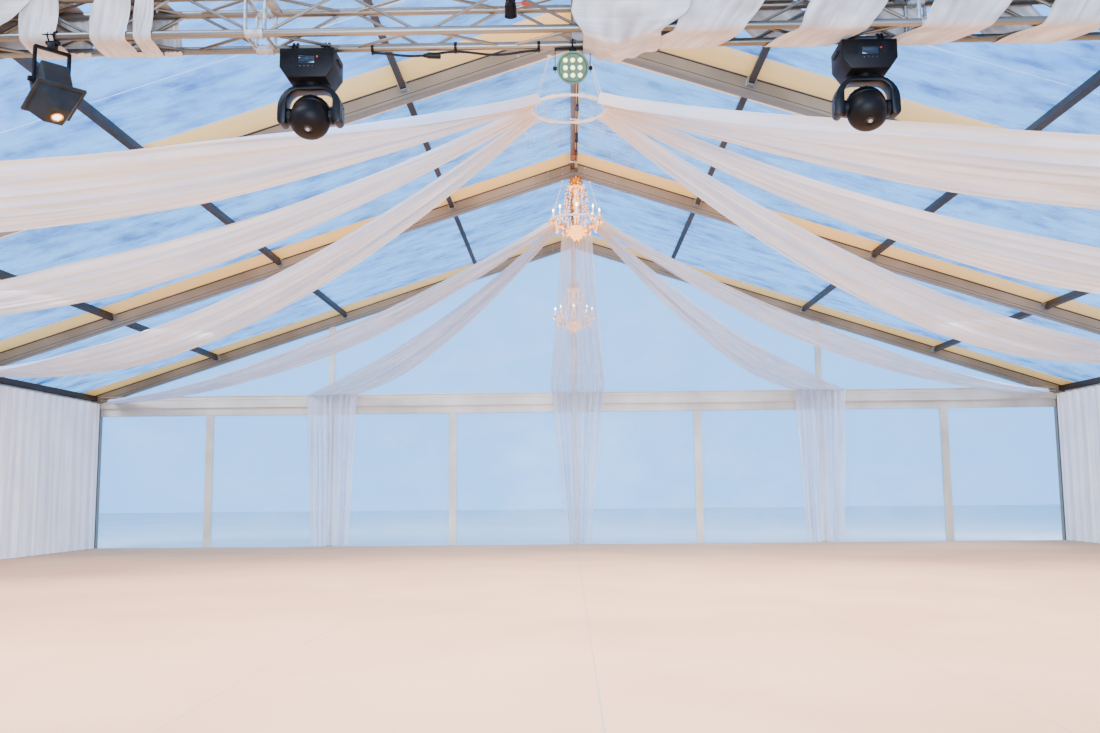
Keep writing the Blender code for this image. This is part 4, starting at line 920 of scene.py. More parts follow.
@dataclass
class Walls:
    """The coated side walls between the legs, and the ground rail that holds their feet."""

    face: float = 9.9485
    foot: float = 0.02
    rail_depth: float = 0.04
    rail_height: float = 0.06
    rail_half_length: float = 12.56
    bolt_steps: tuple[float, ...] = (-1.6, 0.0, 1.6)

    def build(self, shop: Workshop) -> None:
        """Makes both walls, a sheet for each bay, and both rails."""
        tall = ROOF.below(self.face, ROOF.cover_drop + 0.006) - self.foot
        for side, name in zip(SIDES, ("left", "right")):
            for index, middle in enumerate(ROOF.bays()):
                phases = draw(70 + index + 10 * side, 3)

                def place(across: float, along: float) -> Vector:
                    """A point of the wall, which ripples between its edges and has a hem at its foot."""
                    y = middle + (across - 0.5) * 2 * ROOF.half_bay
                    z = self.foot + tall * along
                    wave = math.sin(y * 2.6 + phases[0] + z) + 0.6 * math.sin(y * 7 + phases[1] - 0.6 * z)
                    ripple = 0.006 * wave + 0.004 * math.sin(y * 19 + phases[2]) * (1 - along)
                    return Vector((side * (self.face + ripple * (fade(across, 8) * fade(along, 8))), y, z))

                holders = [f"portal_frame_{index + 1}", f"portal_frame_{index + 2}"]
                shop.cloth(
                    f"{name}_wall_sheet_{index + 1}", (72, 20), (2 * ROOF.half_bay, tall), place, COATED,
                    Held.STRETCHED, holders, [f"{name}_wall"], Slot.SHEETING,
                )
            inner = ROOF.half_span + ROOF.gap
            outer, long, foot = inner + self.rail_depth, self.rail_half_length, self.foot
            rail = Shape().block((side * inner, -long, foot), (side * outer, long, foot + self.rail_height), 0.004)
            for middle in ROOF.bays():
                start = (side * (self.face - 0.001), middle - ROOF.half_bay, foot)
                rail.block(start, (side * (inner + 0.02), middle + ROOF.half_bay, foot + 0.004), 0.001)
                for step in self.bolt_steps:
                    spot = (middle + step, foot + 0.03)
                    rail.rod((side * outer, *spot), (side * (outer + 0.007), *spot), 0.009, 6)
            shop.add(f"{name}_ground_rail", rail, ANODISED_PALE, Slot.FRAME)


@dataclass
class Curtains:
    """The pleated curtains in front of the walls, one for each bay."""

    middle_x: float = 9.716
    end_y: float = 12.3
    top: float = 2.955
    foot: float = 0.045
    depth: float = 0.037
    pleats: int = 17
    fullness: float = 1.15

    def build(self, shop: Workshop) -> None:
        """Makes the curtains and the track that they hang from."""
        ends = [-self.end_y, *ROOF.frame_ys[1:-1], self.end_y]
        tall = self.top - self.foot
        for side, name in zip(SIDES, ("left", "right")):
            for index, (first, last) in enumerate(zip(ends, ends[1:])):
                chance = random.Random(110 + index + 10 * side)
                drift = [chance.uniform(-0.4, 0.4) for _ in range(self.pleats + 2)]

                def place(across: float, along: float) -> Vector:
                    """A point of the pleats, which are even at the heading and looser at the foot."""
                    step = across * self.pleats
                    nudge = drift[int(step)] * (1 - along) * 0.5
                    depth = self.depth * (0.72 + 0.28 * (1 - along))
                    wave = math.sin(TURN * step + nudge * math.sin(math.pi * (step % 1)))
                    y = first + 0.01 + (last - first - 0.02) * across
                    sharp = math.copysign(abs(wave) ** 0.8, wave)
                    return Vector((side * (self.middle_x - depth * sharp), y, self.foot + tall * along))

                flat = ((last - first) * self.fullness, tall)
                shop.cloth(
                    f"{name}_curtain_{index + 1}", (self.pleats * 8, 8), flat, place, CURTAIN, Held.GATHERED,
                    [f"{name}_wall"], [f"{name}_curtain"],
                )
            track = Shape().block((side * 9.70, -self.end_y, 2.944), (side * 9.757, self.end_y, 2.959), 0.002)
            shop.add(f"{name}_curtain_track", track, WHITE_ENAMEL, Slot.WHITE)


@dataclass
class Floor:
    """The boards' finish, and the carpet that lies on them."""

    half_x: float = 9.758
    half_y: float = 12.409
    top: float = 0.0403

    def build(self, shop: Workshop) -> None:
        """Dresses the boards and lays the carpet."""
        shop.dress(["floor_deck"], BOARDS)

        def place(across: float, along: float) -> Vector:
            """A point of the carpet, which lies flat with faint waves."""
            x = (across - 0.5) * 2 * self.half_x
            y = (along - 0.5) * 2 * self.half_y
            wave = math.sin(x * 0.9 + 0.5 * y) * math.sin(y * 0.7 + 1.0)
            return Vector((x, y, self.top - 0.001 + 0.001 * wave))

        flat = (2 * self.half_x, 2 * self.half_y)
        shop.cloth("carpet_felt", (80, 100), flat, place, CARPET, Held.LAID, ["floor_deck"], ["carpet"], Slot.CARPET)


@dataclass
class Gables:
    """The gable frames' finish with their ledges, and the clear film on their outer side."""

    sheet_y: float = 12.5465
    doorway_half: float = 2.425
    foot: float = 0.02
    header_foot: float = 2.71
    # The height of each ledge's foot and top on the beam, and how far it stands out.
    ledges: tuple[Triple, ...] = (
        (3.096, 3.112, 0.022), (3.030, 3.042, 0.010), (2.868, 2.884, 0.014)
    )

    def film(self, shop: Workshop, name: str, side: int, span: Pair, foot: float, node: str) -> None:
        """Makes one film from its foot up to the rafters."""
        first, last = span
        phases = draw(len(name), 3)
        width = last - first
        tall = ROOF.below(0 if first < 0 < last else min(abs(first), abs(last)), ROOF.profile_depth) - foot

        def place(across: float, along: float) -> Vector:
            """A point of the film, with drawn ripples between the uprights."""
            x = first + width * across
            top = ROOF.below(x, ROOF.profile_depth) - 0.0005
            z = foot + (top - foot) * along
            wave = 0.5 + 0.25 * math.sin(x * 2.2 + phases[0] + 0.9 * z) + 0.25 * math.sin(z * 3.1 + phases[1])
            return Vector((x, side * self.sheet_y + side * 0.010 * wave * (fade(across, 12) * fade(along, 10)), z))

        shop.cloth(
            name, (max(40, int(width * 6)), 28), (width, tall), place, GABLE_FILM, Held.STRETCHED,
            ["back_gable_frame" if side > 0 else "front_gable_frame"], [node], Slot.CLEAR, shaped=True,
        )

    def build(self, shop: Workshop) -> None:
        """Dresses the frames, and makes the ledges, bands and films."""
        shop.dress(["front_gable_frame", "back_gable_frame"], ANODISED_PALE)
        edge, door = ROOF.leg_inner - ROOF.gap, self.doorway_half
        self.film(shop, "back_gable_film", 1, (-edge, edge), self.foot, "back_gable_sheet")
        for name, span, foot in (
            ("left", (-edge, -door), self.foot), ("right", (door, edge), self.foot),
            ("over_door", (-door, door), self.header_foot),
        ):
            self.film(shop, f"front_gable_film_{name}", -1, span, foot, f"front_gable_sheet_{name}")
        trims, bolts = Shape(), Shape()
        for side in SIDES:
            face = side * (ROOF.gable_y - 0.075)
            for low, high, reach in self.ledges:
                trims.block((-edge, face - side * reach, low), (edge, face + side * 0.002, high), 0.003)
            inner = side * (ROOF.gable_y - 0.03)
            trims.block((-edge, inner - side * 0.008, 2.712), (edge, inner + side * 0.002, 2.732), 0.002)
            face = side * (ROOF.gable_y - 0.055)
            for x in (-5.0, 0.0, 5.0):
                for z, reach in ((2.95, 0.030), (3.05, 0.030), (ROOF.below(x, ROOF.profile_depth) - 0.10, 0.009)):
                    for step in (x - 0.03, x + 0.03):
                        bolts.rod((step, face, z), (step, face - side * reach, z), 0.010, 6)
        shop.add("gable_beam_ledges", trims, ANODISED_PALE, Slot.FRAME)
        shop.add("gable_bolts", bolts, ZINC, Slot.FRAME)


@dataclass(frozen=True)
class SwagRow:
    """One row of a swag: its middle, its sideways and outward directions, its width and how far it is cupped."""

    centre: Vector
    sideways: Vector
    outward: Vector
    width: float
    cup: float


@dataclass
class Swag:
    """A length of voile that hangs from its hoop's rim to a point, gathered at both ends."""

    name: str
    hoop: Pair
    end: Vector
    widths: tuple[float, float, float, float]
    sag: float
    end_sideways: Vector
    flat_width: float
    pleats: int
    tail: Pair | None = None
    hoop_height: float = 5.40
    rim: float = 0.4493
    rows: int = 64
    tail_rows: int = 24
    tail_top: float = 3.06
    tail_foot: float = 0.065
    narrowing: float = 0.45
    cup_share: float = 0.08

    def lines(self) -> list[SwagRow]:
        """The swag's rows from the hoop to its end, and then down its tail."""
        centre = Vector((*self.hoop, self.hoop_height))
        along = Vector((self.end.x - centre.x, self.end.y - centre.y, 0)).normalized()
        sideways = Vector((along.y, -along.x, 0))
        start = centre + along * (self.rim - 0.012) + Vector((0, 0, 0.012))
        run = (self.end - start).to_2d().length
        first, spread, widest, last = self.widths
        # Each line is the row's middle, its sideways direction, its width and its cup.
        lines = []
        for i in range(self.rows + 1):
            t = i / self.rows
            point = start.lerp(self.end, t)
            point.z -= 4 * self.sag * t * (1 - t)
            left = min(1.0, (1 - t) / self.narrowing)
            width = min(first + spread * run * t, last + (widest - last) * math.sqrt(left))
            turned = sideways.lerp(self.end_sideways, t * t).normalized()
            lines.append((point, turned, width, self.cup_share * width * math.sin(math.pi * t)))
        if self.tail:
            for i in range(self.tail_rows + 1):
                t = i / self.tail_rows
                fall = self.tail_top + (self.tail_foot - self.tail_top) * t
                point = Vector((self.end.x, self.end.y - 0.018 - 0.015 * t, fall))
                lines.append((point, Vector((1, 0, 0)), self.tail[0] + (self.tail[1] - self.tail[0]) * t, 0.0))
        made = []
        for i, (point, turned, _, cup) in enumerate(lines):
            tangent = (lines[min(i + 1, len(lines) - 1)][0] - lines[max(i - 1, 0)][0]).normalized()
            around = [line[2] for line in lines[max(0, i - 2) : i + 3]]
            made.append(SwagRow(point, turned, turned.cross(tangent).normalized(), sum(around) / len(around), cup))
        return made

    def build(self, shop: Workshop, finish: Finish, holders: Sequence[str]) -> None:
        """Makes the pleated cloth."""
        rows = self.lines()
        phases = draw(sum(map(ord, self.name)), 6)
        quarter = self.flat_width / (4 * self.pleats)
        length = length_of([row.centre for row in rows])

        def place(across: float, along: float) -> Vector:
            """A point of the cloth, whose pleats deepen wherever its width is drawn in."""
            row = rows[round(along * (len(rows) - 1))]
            base = row.width / (4 * self.pleats)
            deep = math.sqrt(max(0.0, quarter * quarter - base * base)) * 0.8
            travelled = along * length
            drift = 0.5 * math.sin(across * 9 + phases[0] + travelled * 0.25)
            drift += 0.3 * math.sin(across * 23 + phases[1])
            wave = math.sin(TURN * self.pleats * across + phases[2] + 2.2 * drift)
            uneven = 0.75 + 0.35 * math.sin(across * 13 + phases[3] + travelled * 0.4)
            lean = 0.35 * base * math.sin(2 * (TURN * self.pleats * across + phases[2]))
            hollow = row.cup * (1 - (2 * across - 1) ** 2)
            spot = row.centre + row.sideways * ((across - 0.5) * row.width + lean)
            return spot + row.outward * (deep * wave * uneven) - Vector((0, 0, hollow))

        grid = (self.pleats * 7, len(rows) - 1)
        flat = (self.flat_width, length)
        shop.cloth(f"{self.name}_voile", grid, flat, place, finish, Held.DRAPED, holders, [self.name])


@dataclass
class Drapes:
    """The hoops' finish and binding, and the eleven swags that fan out from them."""

    front: Pair = (-0.09, 2.5)
    back: Pair = (0.03, 7.5)
    height: float = 5.40
    radius: float = 0.43
    tube: float = 0.011
    end_x: float = 9.45
    beam_face: float = 12.4247
    beam_top: float = 3.11
    # The front hoop's swags: place, Y, spread, widest, sag, flat width, pleats and the number of their frame.
    front_swags: tuple[tuple[str, float, float, float, float, float, int, int], ...] = (
        ("near", -2.5, 0.60, 2.2, 0.52, 2.7, 9, 3),
        ("middle", 2.5, 0.29, 1.57, 0.62, 2.1, 8, 4),
        ("far", 7.5, 0.20, 1.9, 0.80, 1.9, 8, 5),
    )

    def binding(self, shop: Workshop, node: str, centre: Pair) -> None:
        """Winds a strip of voile round a hoop's rim, bunched where swags leave it."""
        name = f"{node}_binding"
        phases = draw(len(name), 3)

        def place(across: float, along: float) -> Vector:
            """A point of the strip round the rim."""
            round_rim, round_tube = TURN * along, TURN * across
            bunch = 0.004 * math.sin(6 * round_rim + phases[0]) + 0.003 * math.sin(17 * round_rim + phases[1])
            fold = 0.0025 * math.sin(26 * round_rim + 2 * round_tube) + 0.0015 * math.sin(5 * round_tube + phases[2])
            reach = self.tube + 0.010 + bunch + fold
            ring = self.radius + reach * math.cos(round_tube)
            spot = (centre[0] + ring * math.cos(round_rim), centre[1] + ring * math.sin(round_rim))
            return Vector((*spot, self.height + 0.85 * reach * math.sin(round_tube)))

        shop.cloth(name, (14, 220), (TURN * 0.021, TURN * self.radius), place, BINDING, Held.GATHERED, [node])

    def fittings(self, shop: Workshop) -> None:
        """Makes the clips that hold the hoops' wires, and the eyes over them."""
        clips = Shape()
        angle = math.radians(22.5)
        for x, y in (self.front, self.back):
            for side in SIDES:
                eye = ROOF.below(abs(side * 0.22 + x) + 0.015, ROOF.profile_depth)
                profile = mm(0, 4, 26, 3, 28, -4, 0, -6)
                clips.turned(profile, 16, shift(x + side * 0.22, y, eye - 0.006))
                for end in SIDES:
                    foot = (x + side * self.radius * math.cos(angle), y + end * self.radius * math.sin(angle))
                    clips.block((-0.010, -0.010, 0.004), (0.010, 0.010, 0.040), 0.004, shift(*foot, self.height))
        shop.add("hoop_clips", clips, WHITE_ENAMEL, Slot.WHITE)

    def build(self, shop: Workshop) -> None:
        """Dresses the hoops and makes their bindings and swags."""
        shop.dress(["front_hoop", "back_hoop"], WHITE_ENAMEL)
        self.binding(shop, "front_hoop", self.front)
        self.binding(shop, "back_hoop", self.back)
        self.fittings(shop)
        end_z = ROOF.below(self.end_x, ROOF.profile_depth) - ROOF.gap
        beam_y, level = self.beam_face - 0.02, Vector((1, 0, 0))
        gable = ["back_hoop", "back_gable_frame"]
        for side, name in zip(SIDES, ("left", "right")):
            eave = Vector((0, -side, 0))
            for spot, y, spread, widest, sag, flat, pleats, number in self.front_swags:
                end, widths = Vector((side * self.end_x, y, end_z)), (0.17, spread, widest, 0.34)
                swag = Swag(f"{name}_{spot}_swag", self.front, end, widths, sag, eave, flat, pleats)
                swag.build(shop, VOILE, ["front_hoop", f"portal_frame_{number}"])
            corner = Vector((side * self.end_x, self.beam_face - 0.17, 3.0))
            swag = Swag(f"{name}_corner_swag", self.back, corner, (0.10, 0.24, 1.1, 0.34), 0.55, eave, 1.6, 7)
            swag.build(shop, GABLE_VOILE, ["back_hoop", "portal_frame_6"])
            post, widths = Vector((side * 4.98, beam_y, self.beam_top)), (0.10, 0.19, 1.10, 1.05)
            swag = Swag(f"{name}_gable_swag", self.back, post, widths, 0.35, level, 1.6, 9, tail=(1.02, 0.75))
            swag.build(shop, GABLE_VOILE, gable)
        middle, widths = Vector((0.06, beam_y, self.beam_top)), (0.48, 0.16, 1.12, 1.10)
        swag = Swag("centre_gable_swag", self.back, middle, widths, 0.30, level, 1.8, 9, tail=(1.07, 0.45))
        swag.build(shop, CENTRE_VOILE, gable)


@dataclass
class Chandelier:
    """A gilt chandelier: crown, glass stem, eight arms with candle lamps, and strings of crystal drops."""

    node: str
    place: Vector
    hook: float
    arms: int = 8
    circle: float = 0.37
    crown_height: float = 0.60
    link_pitch: float = 0.034

    @property
    def at(self) -> Matrix:
        """The place of the cups' rims on the stem's axis."""
        return Matrix.Translation(self.place)

    def spoke(self, index: float, spot: Point = (0, 0, 0)) -> Matrix:
        """A spot on an arm that is turned about the stem."""
        return self.at @ spin(TURN * index / self.arms, "Z") @ shift(*spot)

    def metalwork(self, shop: Workshop) -> None:
        """Makes the canopy, rod, crown with its leaves, arms, dishes and finial."""
        drop, crown = self.hook - self.place.z, self.crown_height
        metal = Shape(self.at)
        canopy = mm(0, 0, 50, 1, 50, 8, 43, 22, 22, 45, 12, 62, 8, 70, 7, 90, 0, 90)
        metal.turned([(radius, drop - fall) for radius, fall in canopy], 20)
        metal.rod((0, 0, crown - 0.02), (0, 0, drop - 0.08), 0.0055, 8)
        angles = (TURN * i / 12 for i in range(13))
        link = Shape().run([(0.016 * math.cos(a), 0, 0.022 * math.sin(a)) for a in angles], 0.003, 6)
        count = max(1, int((drop - 0.12 - crown) / self.link_pitch))
        metal.stamp(link, [
            self.at @ shift(0, 0, crown + 0.03 + self.link_pitch * i) @ spin(math.pi / 2 * (i % 2), "Z")
            for i in range(count)
        ])
        metal.turned(mm(
            0, 615, 16, 610, 20, 595, 60, 585, 98, 572, 106, 562, 100, 552, 60, 560, 30, 548, 22, 520, 0, 518
        ))
        half_leaf = mm(16, 18, 20, 45, 12, 75)
        outline = [(0.0, 0.0), *half_leaf, (0.0, 0.095), *((-x, z) for x, z in reversed(half_leaf))]
        leaf = Shape().panel(outline, -0.0012, 0.0012, 0.0008)
        for vert in leaf.mesh.verts:
            vert.co.y += 6.0 * vert.co.z**2 - 1.5 * abs(vert.co.x) ** 1.2
        leaves = [(0.8 * i, 0.096, 0.560, 1.25) for i in range(10)]
        rings = ((0.060, 0.600, 1.1), (0.150, 0.400, 0.9), (0.175, 0.270, 0.9), (0.170, 0.130, 0.9))
        for level, ring in enumerate(rings):
            leaves += [(i + 0.5 * (level % 2), *ring) for i in range(8)]
        metal.stamp(leaf, [
            self.spoke(turn, (reach, 0, z)) @ spin(-math.pi / 2, "Z") @ Matrix.Scale(scale, 4)
            for turn, reach, z, scale in leaves
        ])
        arm = Shape()
        for radius, sides, line in (
            (0.0075, 8, mm(
                45, -95, 75, -125, 115, -155, 165, -172, 220, -172, 270, -160, 315, -132, 345, -98, 362, -62,
                370, -28
            )),
            (0.0045, 6, mm(165, -165, 150, -135, 158, -108, 180, -98, 198, -110, 196, -130, 180, -134)),
            (0.0045, 6, mm(315, -130, 300, -105, 280, -100, 268, -114, 276, -128)),
        ):
            arm.run([(x, 0, z) for x, z in line], radius, sides)
        arm.turned(mm(
            0, -32, 12, -31, 22, -22, 40, -14, 46, -8, 40, -7, 18, -12, 16, 0, 18, 12, 0, 12
        ), 16, shift(self.circle, 0, 0))
        arm.ball((0.075, 0, -0.125), (0.024, 0.020, 0.024), 2)
        metal.stamp(arm, [self.spoke(i) for i in range(self.arms)])
        metal.turned(mm(0, -75, 50, -78, 66, -88, 66, -102, 50, -112, 0, -115))
        metal.turned(mm(0, -285, 24, -290, 36, -305, 30, -322, 14, -335, 20, -350, 18, -364, 8, -376, 0, -379), 20)
        shop.add(f"{self.node}_metalwork", metal, GILT, Slot.GILT, replaces=[self.node])

    def strings(self) -> tuple[list[Matrix], list[Matrix], list[Matrix]]:
        """The places of the glass beads, of the gilt beads among them and of the drops."""
        beads: list[Matrix] = []
        gilt: list[Matrix] = []
        drops: list[Matrix] = []
        for i in range(2 * self.arms):
            for step in range(18):
                t = (step + 0.5) / 18
                spot = (0.085 + 0.105 * math.sin(math.pi * (0.12 + 0.72 * t)), 0, 0.60 - 0.70 * t)
                (gilt if (step + i) % 3 == 2 else beads).append(self.spoke(0.5 * i + 0.25, spot))
        for i in range(self.arms):
            for step in range(6):
                angle = TURN * step / 6
                spot = (self.circle + 0.042 * math.cos(angle), 0.042 * math.sin(angle), -0.024)
                drops.append(self.spoke(i, spot))
            for step in range(14):
                t = (step + 0.5) / 14
                fall = 0.548 + (-0.02 - 0.548) * t - 0.16 * 4 * t * (1 - t) * 0.6
                beads.append(self.spoke(i, (0.10 + 0.235 * t**1.5, 0, fall)))
            for step in range(7):
                t = (step + 0.5) / 7
                angle = TURN * (t - 0.5) / self.arms
                spot = (0.345 * math.cos(angle), 0.345 * math.sin(angle), -0.035 - 0.09 * 4 * t * (1 - t))
                beads.append(self.spoke(i + 0.5, spot))
            drops += [self.spoke(i, (0.220, 0, -0.190)), self.spoke(i, (0.300, 0, -0.165))]
            drops.append(self.spoke(i + 0.5, (0.345, 0, -0.145)))
        for i in range(20):
            drops += [self.spoke(i * 0.4, (0.104, 0, 0.546)), self.spoke(i * 0.4 + 0.2, (0.152, 0, -0.145))]
        for ring, z in ((0.120, -0.205), (0.085, -0.250), (0.045, -0.292)):
            drops += [self.spoke(i * 0.5, (ring, 0, z)) for i in range(16)]
        drops.append(self.at @ shift(0, 0, -0.345))
        return beads, gilt, drops

    def glass(self, shop: Workshop) -> None:
        """Makes the glass stem and bowl, and the beads and drops on the crown, arms and bowl."""
        glass = Shape(self.at).turned(mm(
            0, 515, 22, 512, 30, 490, 34, 450, 26, 410, 30, 385, 52, 340, 60, 300, 50, 250, 28, 215, 22, 180,
            30, 130, 45, 80, 34, 30, 28, -20, 40, -60, 0, -74
        ))
        glass.turned(mm(
            0, -118, 80, -122, 150, -118, 158, -128, 140, -160, 105, -200, 70, -240, 45, -275, 0, -284
        ), 32)
        shop.add(f"{self.node}_glass_stem", glass, CRYSTAL, Slot.GILT)
        bead = Shape().ball((0, 0, 0), (0.020, 0.020, 0.022))
        knob = Shape().ball((0, 0, 0), (0.018, 0.018, 0.020))
        pendant = Shape().ball((0, 0, 0.010), (0.012, 0.012, 0.012))
        pendant.rod((0, 0, -0.014), (0, 0, 0.002), 0.014, 6, 0.004)
        pendant.rod((0, 0, -0.050), (0, 0, -0.014), 0.002, 6, 0.014)
        beads, gilt, drops = self.strings()
        crystals = Shape().stamp(bead, beads).stamp(pendant, drops)
        shop.add(f"{self.node}_crystals", crystals, CRYSTAL, Slot.GILT, smooth=5.0)
        shop.add(f"{self.node}_gilt_beads", Shape().stamp(knob, gilt), GILT, Slot.GILT, smooth=5.0)

    def candles(self, shop: Workshop) -> None:
        """Makes the candle tubes and their flame lamps."""
        tube = mm(0, 0, 12, 1, 12.5, 120, 13.5, 124, 13, 128, 0, 129)
        flame = mm(0, 0, 7, 4, 12.5, 16, 12.5, 28, 8, 44, 3, 54, 0, 57)
        for name, profile, z, finish in (("candle_tubes", tube, 0.008, CANDLE), ("flame_lamps", flame, 0.134, FLAME)):
            one = Shape().turned(profile, 12, shift(self.circle, 0, z))
            around = Shape().stamp(one, [self.spoke(i) for i in range(self.arms)])
            shop.add(f"{self.node}_{name}", around, finish, Slot.GILT)

    def build(self, shop: Workshop) -> None:
        """Makes the whole chandelier."""
        self.metalwork(shop)
        self.glass(shop)
        self.candles(shop)


@dataclass
class Truss:
    """The box truss with its splices, drop wires and tied cable, and the cloth wound round it."""

    y: float = -2.8
    half_length: float = 5.0
    spacing: float = 0.239
    chord: float = 0.025
    bar: float = 0.010
    bottom: float = 3.88
    bay: float = 0.5
    inset: float = 0.03
    splices: tuple[float, ...] = (-2.03, 2.07)
    drops: tuple[float, ...] = (-4.7072, -1.9572, 1.9572, 4.7072)
    cable_xs: Pair = (-1.35, -0.30)
    cable_radius: float = 0.008

    @property
    def half(self) -> float:
        """Half the chords' spacing."""
        return self.spacing / 2

    @property
    def at(self) -> Matrix:
        """The place of the truss's own middle line, at its bottom chords' height."""
        return shift(0, self.y, self.bottom)

    def metalwork(self, shop: Workshop) -> None:
        """Makes the chords, the zigzag bracing and the splices."""
        corners = [(y, z) for z in (0, self.spacing) for y in (-self.half, self.half)]
        sides = ((0, 2), (1, 3), (0, 1), (2, 3))
        truss, ends, wires = Shape(self.at), Shape(self.at), Shape(self.at)
        for corner in corners:
            truss.rod((-self.half_length, *corner), (self.half_length, *corner), self.chord, 20)
        for side in sides:
            for i in range(round(2 * self.half_length / self.bay)):
                first, last = side if i % 2 == 0 else reversed(side)
                x = -self.half_length + i * self.bay
                start = (x + self.inset, *corners[first])
                truss.rod(start, (x + self.bay - self.inset, *corners[last]), self.bar, 10)
        shop.add("truss_tubes", truss, BRUSHED, Slot.TRUSS, replaces=["lighting_truss"])
        for x in self.splices:
            for y, z in corners:
                ends.rod((x - 0.055, y, z), (x + 0.055, y, z), self.chord + 0.004, 20)
                for side in SIDES:
                    ends.rod((x + side * 0.045, y, z), (x + side * 0.052, y, z), self.chord + 0.008, 20)
                    ends.rod((x + side * 0.022, y, z - 0.036), (x + side * 0.022, y, z + 0.036), 0.006, 8)
            for first, last in sides:
                for near in (x - 0.06, x + 0.06):
                    ends.rod((near, *corners[first]), (near, *corners[last]), 0.012, 10)
        shop.add("truss_splices", ends, ZINC, Slot.TRUSS)
        for x in self.drops:
            top = ROOF.below(abs(x) + 0.03, ROOF.cover_drop + 0.1033) - ROOF.gap - self.bottom
            wires.rod((x, 0, self.spacing + 0.01), (x, 0, top - 0.03), 0.005, 8)
            wires.block((x - 0.03, -0.03, top - 0.05), (x + 0.03, 0.03, top), 0.004)
            cone = ((0, 0.05), (0.018, 0.052), (0.014, 0.075), (0.006, 0.09), (0, 0.09))
            wires.turned([(radius, top - fall) for radius, fall in cone], 12, shift(x, 0, 0))
            low = (x - 0.03, -self.half, self.spacing - 0.015)
            wires.block(low, (x + 0.03, self.half, self.spacing + 0.015), 0.004)
        shop.add("truss_drop_wires", wires, ZINC, Slot.TRUSS)

    def cables(self, shop: Workshop) -> None:
        """Makes the cable that is tied along the far bottom chord with its plug, and two small top fittings."""
        first, last = self.cable_xs
        far, top = self.y + self.half, self.bottom + self.spacing
        start = (first, far, self.bottom - self.chord - self.cable_radius - 0.001)
        shop.cord("truss_cable", slack(start, (last - first, 0), 40, 0.024), self.cable_radius, Slot.BLACK)
        level = self.bottom - self.chord - 0.03
        plug = Shape().rod((-1.00, far, level), (-0.92, far, level - 0.004), 0.020, 14)
        plug.rod((-1.03, far, level), (-1.00, far, level), 0.011, 12, 0.018)
        for x in (first, (first + last) / 2, last):
            plug.rod((x - 0.009, far, self.bottom), (x + 0.009, far, self.bottom), self.chord + 0.004, 20)
            low = (x - 0.009, far - 0.010, self.bottom - 0.045)
            plug.block(low, (x + 0.009, far + 0.010, self.bottom - 0.02), 0.004)
        shop.add("truss_cable_plug", plug, BLACK_PLASTIC, Slot.BLACK)
        profile = mm(0, 50, 20, 48, 34, 35, 36, -30, 40, -50, 34, -52, 0, -40)
        spot = Shape().turned(profile, 20, shift(-0.47, self.y - 0.02, top - 0.06) @ spin(0.9, "X"))
        spot.block((-0.50, self.y - 0.03, top - 0.03), (-0.44, self.y + 0.01, top + 0.028), 0.004)
        spot.rod((-0.47, self.y - self.half, top), (-0.47, far, top), 0.009, 8)
        shop.add("truss_small_spot", spot, BLACK, Slot.BLACK)
        near = self.y - 0.03
        red = Shape().rod((-0.40, near, top - 0.03), (-0.34, near, top - 0.035), 0.014, 12)
        red.rod((-0.445, near, top - 0.03), (-0.40, near, top - 0.03), 0.007, 8)
        shop.add("truss_red_connector", red, RED_PLASTIC, Slot.BLACK)

    def girth(self, share: float, reach: float) -> tuple[float, float, Vector]:
        """A point round the truss, from its near bottom chord up the near face.

        Args:
            share: The share of the way round.
            reach: How far outside the chords' middle lines the point lies.

        Returns:
            Nothing on a chord, rising to one in a face's middle; the distance once round the truss; and the
            point's offset from the truss's middle line.
        """
        side, rest = divmod(share * 4 % 4, 1)
        flat, arc = self.spacing, math.pi / 2 * (self.chord + 0.004)
        travel = rest * (flat + arc)
        if travel < flat:
            spot, middle = Vector((0, -self.half - reach, travel - self.half)), math.sin(math.pi * travel / flat)
        else:
            angle, middle = (travel - flat) / arc * math.pi / 2, 0.0
            spot = Vector((0, -self.half - reach * math.cos(angle), self.half + reach * math.sin(angle)))
        return middle, 4 * (flat + arc), Matrix.Rotation(-side * math.pi / 2, 3, "X") @ spot

    def wrap(self, shop: Workshop, name: str, grid: tuple[int, int], flat: Pair, place: Place) -> None:
        """Finishes one sheet of the cloth on the truss."""
        node = name[: name.index("_truss")] + "_truss_wrap"
        shop.cloth(name, grid, flat, place, WRAP, Held.GATHERED, ["lighting_truss"], [node])

    def wound(
        self, shop: Workshop, name: str, start: float, skip: float, turns: float, pitch: float, width: float
    ) -> None:
        """Winds a strip of cloth in a spiral round the truss, with the truss bare between its turns.

        Args:
            shop: Where the piece is finished.
            name: The piece's name.
            start: Where along the truss the spiral crosses the near bottom chord for the first time.
            skip: How many turns after that the strip begins.
            turns: How many turns it makes.
            pitch: How far it travels in each.
            width: Its width along the truss.
        """
        phases = draw(len(name) + int(start * 10), 4)
        round_truss = self.girth(0.0, 0.0)[1]
        slope = round_truss / math.hypot(round_truss, pitch)

